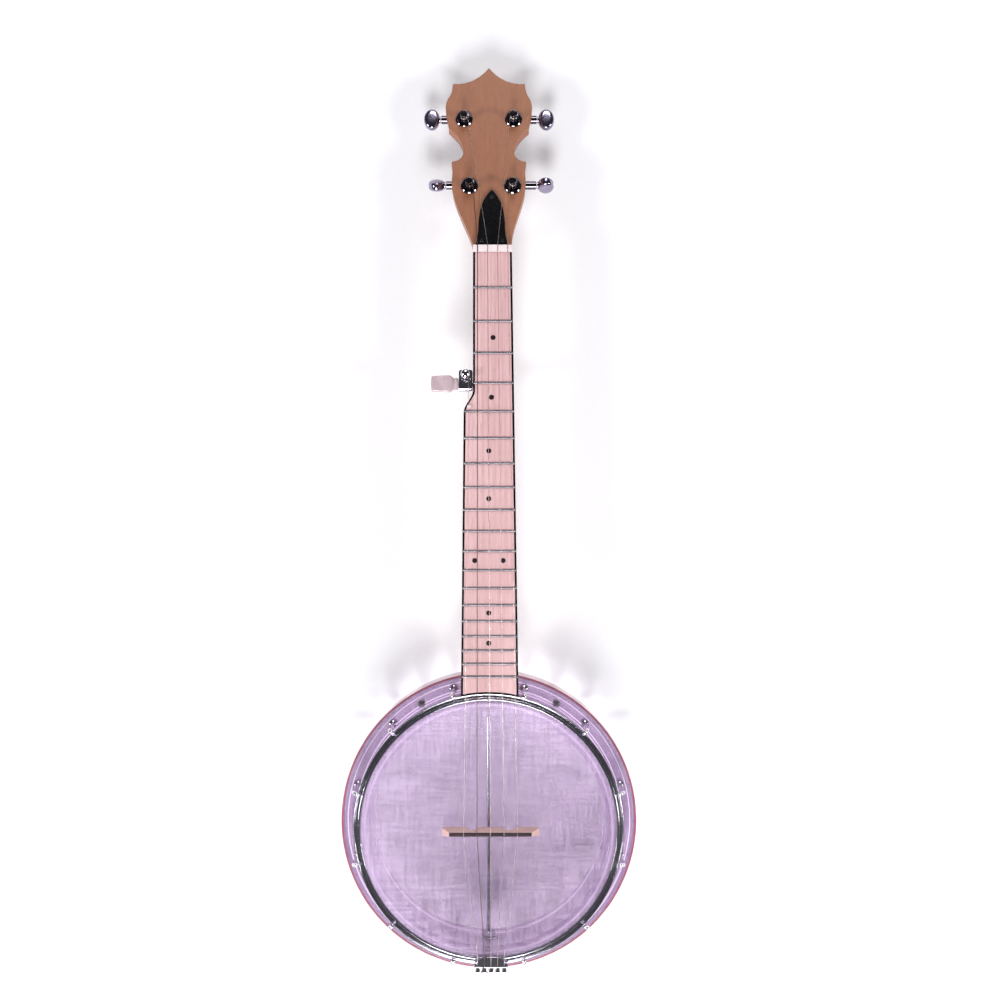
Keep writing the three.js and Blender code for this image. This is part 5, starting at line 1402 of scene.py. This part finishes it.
def make_ferrule(tuners):
    """A ferrule: a dished washer, a six-sided nut on it and a sleeve into the headstock."""
    bore, radius, sleeve = tuners.post_radius + 0.15 * MM, tuners.ferrule_radius, 4.3 * MM
    washer = turned("ferrule_washer", [
        (bore, -8 * MM), (sleeve, -8 * MM), (sleeve, 0.3 * MM), (radius, 0.3 * MM), (radius, 0.8 * MM),
        (radius - 1.1 * MM, 1.7 * MM), (radius - 1.9 * MM, 1.5 * MM), (bore, 1.7 * MM),
    ], 0.3 * MM, steps=64, ring=True)
    nut = hex_nut("ferrule_nut", 9.2 * MM, 1.65 * MM, 3.2 * MM)
    cut(nut, bar("nut_bore", bore, 0, 4 * MM, 48))
    return join(washer, nut)


def make_post(tuners):
    """A string post with a waist and a cross hole."""
    radius, top, edge = tuners.post_radius, tuners.post_height, 0.7 * MM
    waist, waist_low, waist_high = 2.3 * MM, 4.4 * MM, 8.4 * MM
    post = turned("post_top", [
        (0, -20 * MM), (radius, -20 * MM), (radius, waist_low - edge), (waist, waist_low),
        (waist, waist_high), (radius, waist_high + edge), (radius, top), (0, top),
    ], 0.5 * MM, steps=48)
    hole = bar("string_hole", 0.6 * MM, -5 * MM, 5 * MM, 20)
    return cut(post, settle(hole, shift(0, 0, 7.8 * MM) @ spun("Y", 90)))


def make_oval_button(tuners):
    """A button with two slightly domed faces: a disc turned on its middle and widened into an oval."""
    half, dome = tuners.knob_length / 2, tuners.knob_thickness / 2
    profile = []
    for i in range(21):
        angle = math.pi * (i / 20 - 0.5)
        rise = math.copysign(abs(math.sin(angle)) ** 0.62, angle)
        profile.append((half * abs(math.cos(angle)) ** 0.5, dome * rise))
    lens = turn("oval_button", profile, steps=56)
    widened = Matrix.Diagonal((1, tuners.knob_width / tuners.knob_length, 1, 1))
    return settle(lens, shift(half, 0, 0) @ widened)


class BANJO_OT_tuners(bpy.types.Operator):
    """Makes the ferrules, string posts, housings and buttons of the four headstock tuners"""

    bl_idname = "banjo.tuners"
    bl_label = "Headstock tuners"

    def execute(self, context):
        neck, tuners = context.scene.banjo_neck, context.scene.banjo_tuners
        ferrule, post, knob = make_ferrule(tuners), make_post(tuners), make_oval_button(tuners)
        wide, slim = 2.9 * MM, 2.2 * MM
        collar = turned("knob_collar", [
            (0, -0.7 * MM), (wide, -0.7 * MM), (wide, 0.5 * MM), (slim, 0.9 * MM), (slim, 3 * MM), (0, 3 * MM)
        ], 0.35 * MM)
        settle(collar, spun("Y", 90))
        out, along, down = TUNER_WORM
        for place in PLACES:
            here = tuner_place(neck, place)
            side = 1 if "right" in place else -1
            up = here.to_3x3().col[2]
            button_body, post_body = f"tuner_button_{place}", f"tuner_post_{place}"
            copy = copy_of(ferrule, f"ferrule_{place}", here)
            fit(copy, "dark chrome", f"tuner_bushing_{place}")
            wheel = gear_end(post_body, f"wheel_{place}", here @ Vector((0, 0, -15 * MM)), up)
            whole = join(copy_of(post, f"string_post_{place}", here), wheel)
            fit(whole, "dark chrome", post_body, body=post_body)
            housing = soften(node_copy(f"tuner_housing_{place}", f"housing_{place}"), 0.35 * MM, 2, 40)
            fit(housing, "dark chrome", f"tuner_housing_{place}", angle=45)
            at_worm = here @ shift(side * out, along, down) @ spun("Z", 0 if side > 0 else 180)
            start = here @ Vector((side * (out - MM), 0, 0))
            worm = gear_end(button_body, f"worm_{place}", start, Vector((side, 0, 0)))
            fit(worm, "dark chrome", body=button_body)
            button = copy_of(knob, f"button_{place}", at_worm @ spun("X", KNOB_TURNS[place]))
            whole = join(button, copy_of(collar, "collar", at_worm))
            fit(whole, "button chrome", button_body, body=button_body)
        drop(ferrule, post, knob, collar)
        return {"FINISHED"}


def make_peg_housing(here):
    """The solid's block with its end rounded to follow the post and its worm part rounded to a barrel."""
    housing = node_copy("fifth_peg_housing", "peg_housing")
    half, end, foot, low, deck, step = 5.4 * MM, 4.4 * MM, -12.4 * MM, -18.5 * MM, -7.5 * MM, -3.8 * MM
    plan_end = rounded([(-half, 0), (-half, end), (half, end), (half, 0)], 4.2 * MM, 8, ring=False)
    plan = slab("plan", [*plan_end, (half, foot), (-half, foot)], low - MM, MM)
    weld(plan, box("plug_room", (half - 0.2 * MM, -9.6 * MM, low - MM), (20 * MM, -2.8 * MM, MM)))
    barrel = rounded([(0, low), (foot, low), (foot, deck), (step, deck)], 3.4 * MM, 8, ring=False)
    side = slab("side", [*barrel, (step, MM), (12 * MM, MM), (12 * MM, low)], -20 * MM, 20 * MM)
    settle(side, here @ ON_EDGE)
    combine(housing, "INTERSECT", settle(plan, here), side)
    return soften(housing, 0.4 * MM, 3, 40)


class BANJO_OT_fifth_peg(bpy.types.Operator):
    """Makes the geared fifth peg with its pearl button"""

    bl_idname = "banjo.fifth_peg"
    bl_label = "Fifth peg"

    def execute(self, context):
        neck, tuners = context.scene.banjo_neck, context.scene.banjo_tuners
        here = neck_place(neck) @ shift(PEG_LEFT, peg_place(neck), neck.board_thickness)
        up = here.to_3x3().col[2]
        fit(make_peg_housing(here), "chrome", "fifth_peg_housing", angle=45)
        cap = turned("peg_post", [
            (0, -8 * MM), (2 * MM, -8 * MM), (2 * MM, 0.3 * MM), (1.8 * MM, MM), (1.8 * MM, 5.2 * MM),
            (3.2 * MM, 5.2 * MM), (3.7 * MM, 5.7 * MM), (3.6 * MM, 6.2 * MM), (2.9 * MM, 7.1 * MM),
            (1.7 * MM, 7.8 * MM), (0, 8 * MM),
        ], 0.4 * MM, steps=48)
        wheel = gear_end("fifth_peg_post", "peg_wheel", here @ Vector((0, 0, -8.1 * MM)), up)
        fit(join(settle(cap, here), wheel), "chrome", "fifth_peg_post", body="fifth_peg_post")
        start, at_worm = -5.7 * MM, here @ shift(*PEG_WORM)
        worm_start = at_worm @ Vector((start + 0.1 * MM, 0, 0))
        worm = gear_end("fifth_peg_button", "peg_worm", worm_start, Vector((-1, 0, 0)))
        fit(worm, "screw steel", body="fifth_peg_button")
        collar = turned("peg_collar", [
            (0, 0), (4.5 * MM, 0), (5.2 * MM, 2.5 * MM), (3.1 * MM, 5 * MM), (2.8 * MM, 9 * MM), (0, 9 * MM)
        ], 0.7 * MM, steps=48)
        settle(collar, at_worm @ shift(start, 0, 0) @ spun("Y", -90))
        length, half, thick = tuners.peg_knob_length, tuners.peg_knob_width / 2, tuners.peg_knob_thickness
        blade = slab("pearl_button", rounded([
            (0, -0.58 * half), (0.16 * length, -0.96 * half), (0.97 * length, -0.88 * half), (length, 0),
            (0.97 * length, 0.88 * half), (0.16 * length, 0.96 * half), (0, 0.58 * half),
        ], 1.7 * MM, 4), -thick / 2, thick / 2)
        soften(blade, 1.6 * MM, 4, 50)
        settle(blade, at_worm @ shift(start - 3.4 * MM, 0, 0) @ spun("Z", 180))
        fit(join(blade, collar), "pearl plastic", "fifth_peg_button", body="fifth_peg_button")
        return {"FINISHED"}


# Strings


def tail_loop(fittings, prong, radius):
    """Over the plate, down one side of its prong, under it and up the other side."""
    x = fittings.tail_middle + prong * fittings.prong_pitch
    over = fittings.tail_bottom + fittings.tail_thickness + STRING_REST + radius
    under = fittings.tail_bottom - GAP - radius
    aside = fittings.prong_width / 2 + STRING_REST + radius * 2
    loop = TAIL_TIP + TIP_THICKNESS + radius + 2 * STRING_REST
    lean = radius * 2 + STRING_REST
    return [
        (x + aside, loop, over),
        (x + aside, loop, under),
        (x, loop, under - radius),
        (x - aside, loop, under),
        (x - aside, loop, over - radius),
        (x - lean * 2, TAIL_BACK - lean, over),
        (x, TAIL_BACK + lean, over),
        (x, TAIL_FRONT + 0.1 * MM, over + STRING_REST),
    ]


def winding(start, centre, radius, low, on_right, place):
    """Two and a half turns round a post, climbing a millimetre a turn."""
    away = Vector(start) - Vector(centre)
    way = 1 if on_right else -1
    angle = math.atan2(away.y, away.x) + way * math.acos(radius / away.length)
    points = []
    for i in range(61):
        here = angle + way * TAU * i / 24
        x, y = centre[0] + radius * math.cos(here), centre[1] + radius * math.sin(here)
        points.append(place @ Vector((x, y, low + i / 24 * MM)))
    return points


def string_route(scene, number, post, radius):
    """From the loop at the tailpiece over the bridge and the nut or the pip to the winding."""
    fittings, neck, strings = scene.banjo_fittings, scene.banjo_neck, scene.banjo_strings
    top, board = neck.board_thickness, neck_place(neck)
    at_nut = strings.nut_right - number * strings.nut_pitch
    at_bridge = strings.bridge_right - number * strings.bridge_pitch
    bridge = (at_bridge, fittings.bridge_place, fittings.bridge_top - 0.15 * MM + radius)
    points = [Vector(place) for place in (*tail_loop(fittings, 2 - number, radius), bridge)]
    if post == "fifth_peg":
        pip = pip_place(neck).translation
        points.append(board @ Vector((pip.x, pip.y, top + 2.14 * MM + radius)))
        centre, low = (PEG_LEFT, peg_place(neck)), top + MM + radius
        return points + winding((pip.x, pip.y), centre, 2.06 * MM + radius, low, True, board)
    for y in (neck.nut_front, neck.nut_back):
        points.append(board @ Vector((at_nut, y, top + 1.22 * MM + radius)))
    centre, low = tuner_middle(neck, post), 4.52 * MM + radius
    return points + winding((at_nut, 0), centre, 2.56 * MM + radius, low, centre[0] < 0, head_place(neck))


class BANJO_OT_strings(bpy.types.Operator):
    """Makes the five strings from the tailpiece to their windings"""

    bl_idname = "banjo.strings"
    bl_label = "Strings"

    def execute(self, context):
        strings = context.scene.banjo_strings
        facts = (
            (strings.first, "lower_right", "string wire"),
            (strings.second, "upper_right", "string wire"),
            (strings.third, "upper_left", "string wire"),
            (strings.fourth, "lower_left", "wound wire"),
            (strings.first, "fifth_peg", "string wire"),
        )
        for number, (thickness, post, finish) in enumerate(facts):
            radius = thickness / 2
            points = string_route(context.scene, number, post, radius)
            wire = round_wire(f"wire_{number + 1}", points, [radius] * len(points), 12)
            fit(wire, finish, f"string_{number + 1}", angle=60)
        return {"FINISHED"}


# Stage


FLOOR_SIZE = 5
STUDIO_MIDDLE = (0, 0.2, 0)
LAMPS = {  # each with its place, its size in metres and its power in watts
    "tail light": ((-0.1, -1.7, 1.9), 0.95, 54),
    "left light": ((-2.1, -0.16, 1.5), 0.5, 28),
    "right light": ((2.1, -0.16, 1.5), 0.5, 28),
    "head light": ((0.2, 2.8, 1.6), 1.1, 29),
    "low light": ((-0.2, -2.2, 0.75), 0.5, 8),
}
CAMERA_PLACE = (8.94 * MM, 258.2 * MM, 1151 * MM)
WALL_LIGHT, CEILING_LIGHT, MIRRORED_LIGHT = 0.75, 0.05, 0.055


def make_studio():
    """A room with pale walls and a dark ceiling. In the chrome the walls are dark too."""
    world = bpy.data.worlds.new("studio")
    studio = Nodes(world)
    height = studio.part(studio.node("ShaderNodeTexCoord", {}, "Generated"), "Z")
    seen = studio.ranged(height, 0.25, 0.65, WALL_LIGHT, CEILING_LIGHT)
    mirrored_ray = studio.node("ShaderNodeLightPath", {}, "Is Glossy Ray")
    background = studio.tree.nodes["Background"]
    studio.put((0.88, 0.88, 1.0), background.inputs["Color"])
    studio.put(studio.ranged(mirrored_ray, 0, 1, seen, MIRRORED_LIGHT), background.inputs["Strength"])
    return world


class BANJO_OT_stage(bpy.types.Operator):
    """Makes the pale floor, the soft lights and the camera straight above"""

    bl_idname = "banjo.stage"
    bl_label = "Stage"

    def execute(self, context):
        deselect()
        bpy.ops.mesh.primitive_plane_add(size=FLOOR_SIZE, location=(0, 0.25, -0.1 * MM))
        floor = settle(named("floor"), Matrix.Identity(4))
        floor.data.materials.append(bpy.data.materials["floor"])
        for name, (place, across, power) in LAMPS.items():
            way = (Vector(STUDIO_MIDDLE) - Vector(place)).to_track_quat("-Z", "Y").to_euler()
            bpy.ops.object.light_add(type="AREA", location=place, rotation=way)
            lamp = bpy.context.object
            lamp.name = name
            lamp.data.size = across
            lamp.data.energy = power
        context.scene.world = make_studio()
        context.scene.view_settings.view_transform = "Standard"
        bpy.ops.object.camera_add(location=CAMERA_PLACE, rotation=(0, 0, 0))
        camera = bpy.context.object
        camera.name = "camera"
        camera.data.lens = 50
        camera.data.sensor_width = 36
        context.scene.camera = camera
        return {"FINISHED"}


# Panel and registration


PIECES = (
    BANJO_OT_finishes,
    BANJO_OT_stage,
    BANJO_OT_clear_pot,
    BANJO_OT_drum_head,
    BANJO_OT_hoop,
    BANJO_OT_hooks,
    BANJO_OT_resonator_screws,
    BANJO_OT_rod_and_bolts,
    BANJO_OT_tailpiece,
    BANJO_OT_bridge,
    BANJO_OT_neck,
    BANJO_OT_fingerboard,
    BANJO_OT_nut_and_pip,
    BANJO_OT_truss_cover,
    BANJO_OT_tuners,
    BANJO_OT_fifth_peg,
    BANJO_OT_strings,
)
SETTINGS = {
    "banjo_pot": BanjoPotSizes,
    "banjo_fittings": BanjoFittingSizes,
    "banjo_neck": BanjoNeckSizes,
    "banjo_tuners": BanjoTunerSizes,
    "banjo_strings": BanjoStringSizes,
    "banjo_colours": BanjoColours,
}


class BANJO_PT_sidebar(bpy.types.Panel):
    """Lists the banjo's pieces and their sizes"""

    bl_label = "Banjo"
    bl_idname = "BANJO_PT_sidebar"
    bl_space_type = "VIEW_3D"
    bl_region_type = "UI"
    bl_category = "Banjo"

    def draw(self, context):
        for piece in PIECES:
            self.layout.operator(piece.bl_idname)
        for key in SETTINGS:
            rows = self.layout.box()
            settings = getattr(context.scene, key)
            for name in settings.__annotations__:
                rows.prop(settings, name)


def register():
    for settings in SETTINGS.values():
        bpy.utils.register_class(settings)
    for key, settings in SETTINGS.items():
        setattr(bpy.types.Scene, key, bpy.props.PointerProperty(type=settings))
    for piece in PIECES:
        bpy.utils.register_class(piece)
    bpy.utils.register_class(BANJO_PT_sidebar)


def unregister():
    bpy.utils.unregister_class(BANJO_PT_sidebar)
    for piece in reversed(PIECES):
        bpy.utils.unregister_class(piece)
    for key in SETTINGS:
        delattr(bpy.types.Scene, key)
    for settings in SETTINGS.values():
        bpy.utils.unregister_class(settings)


def main():
    register()
    for piece in PIECES:
        group, name = piece.bl_idname.split(".")
        getattr(getattr(bpy.ops, group), name)()


if __name__ == "__main__":
    main()
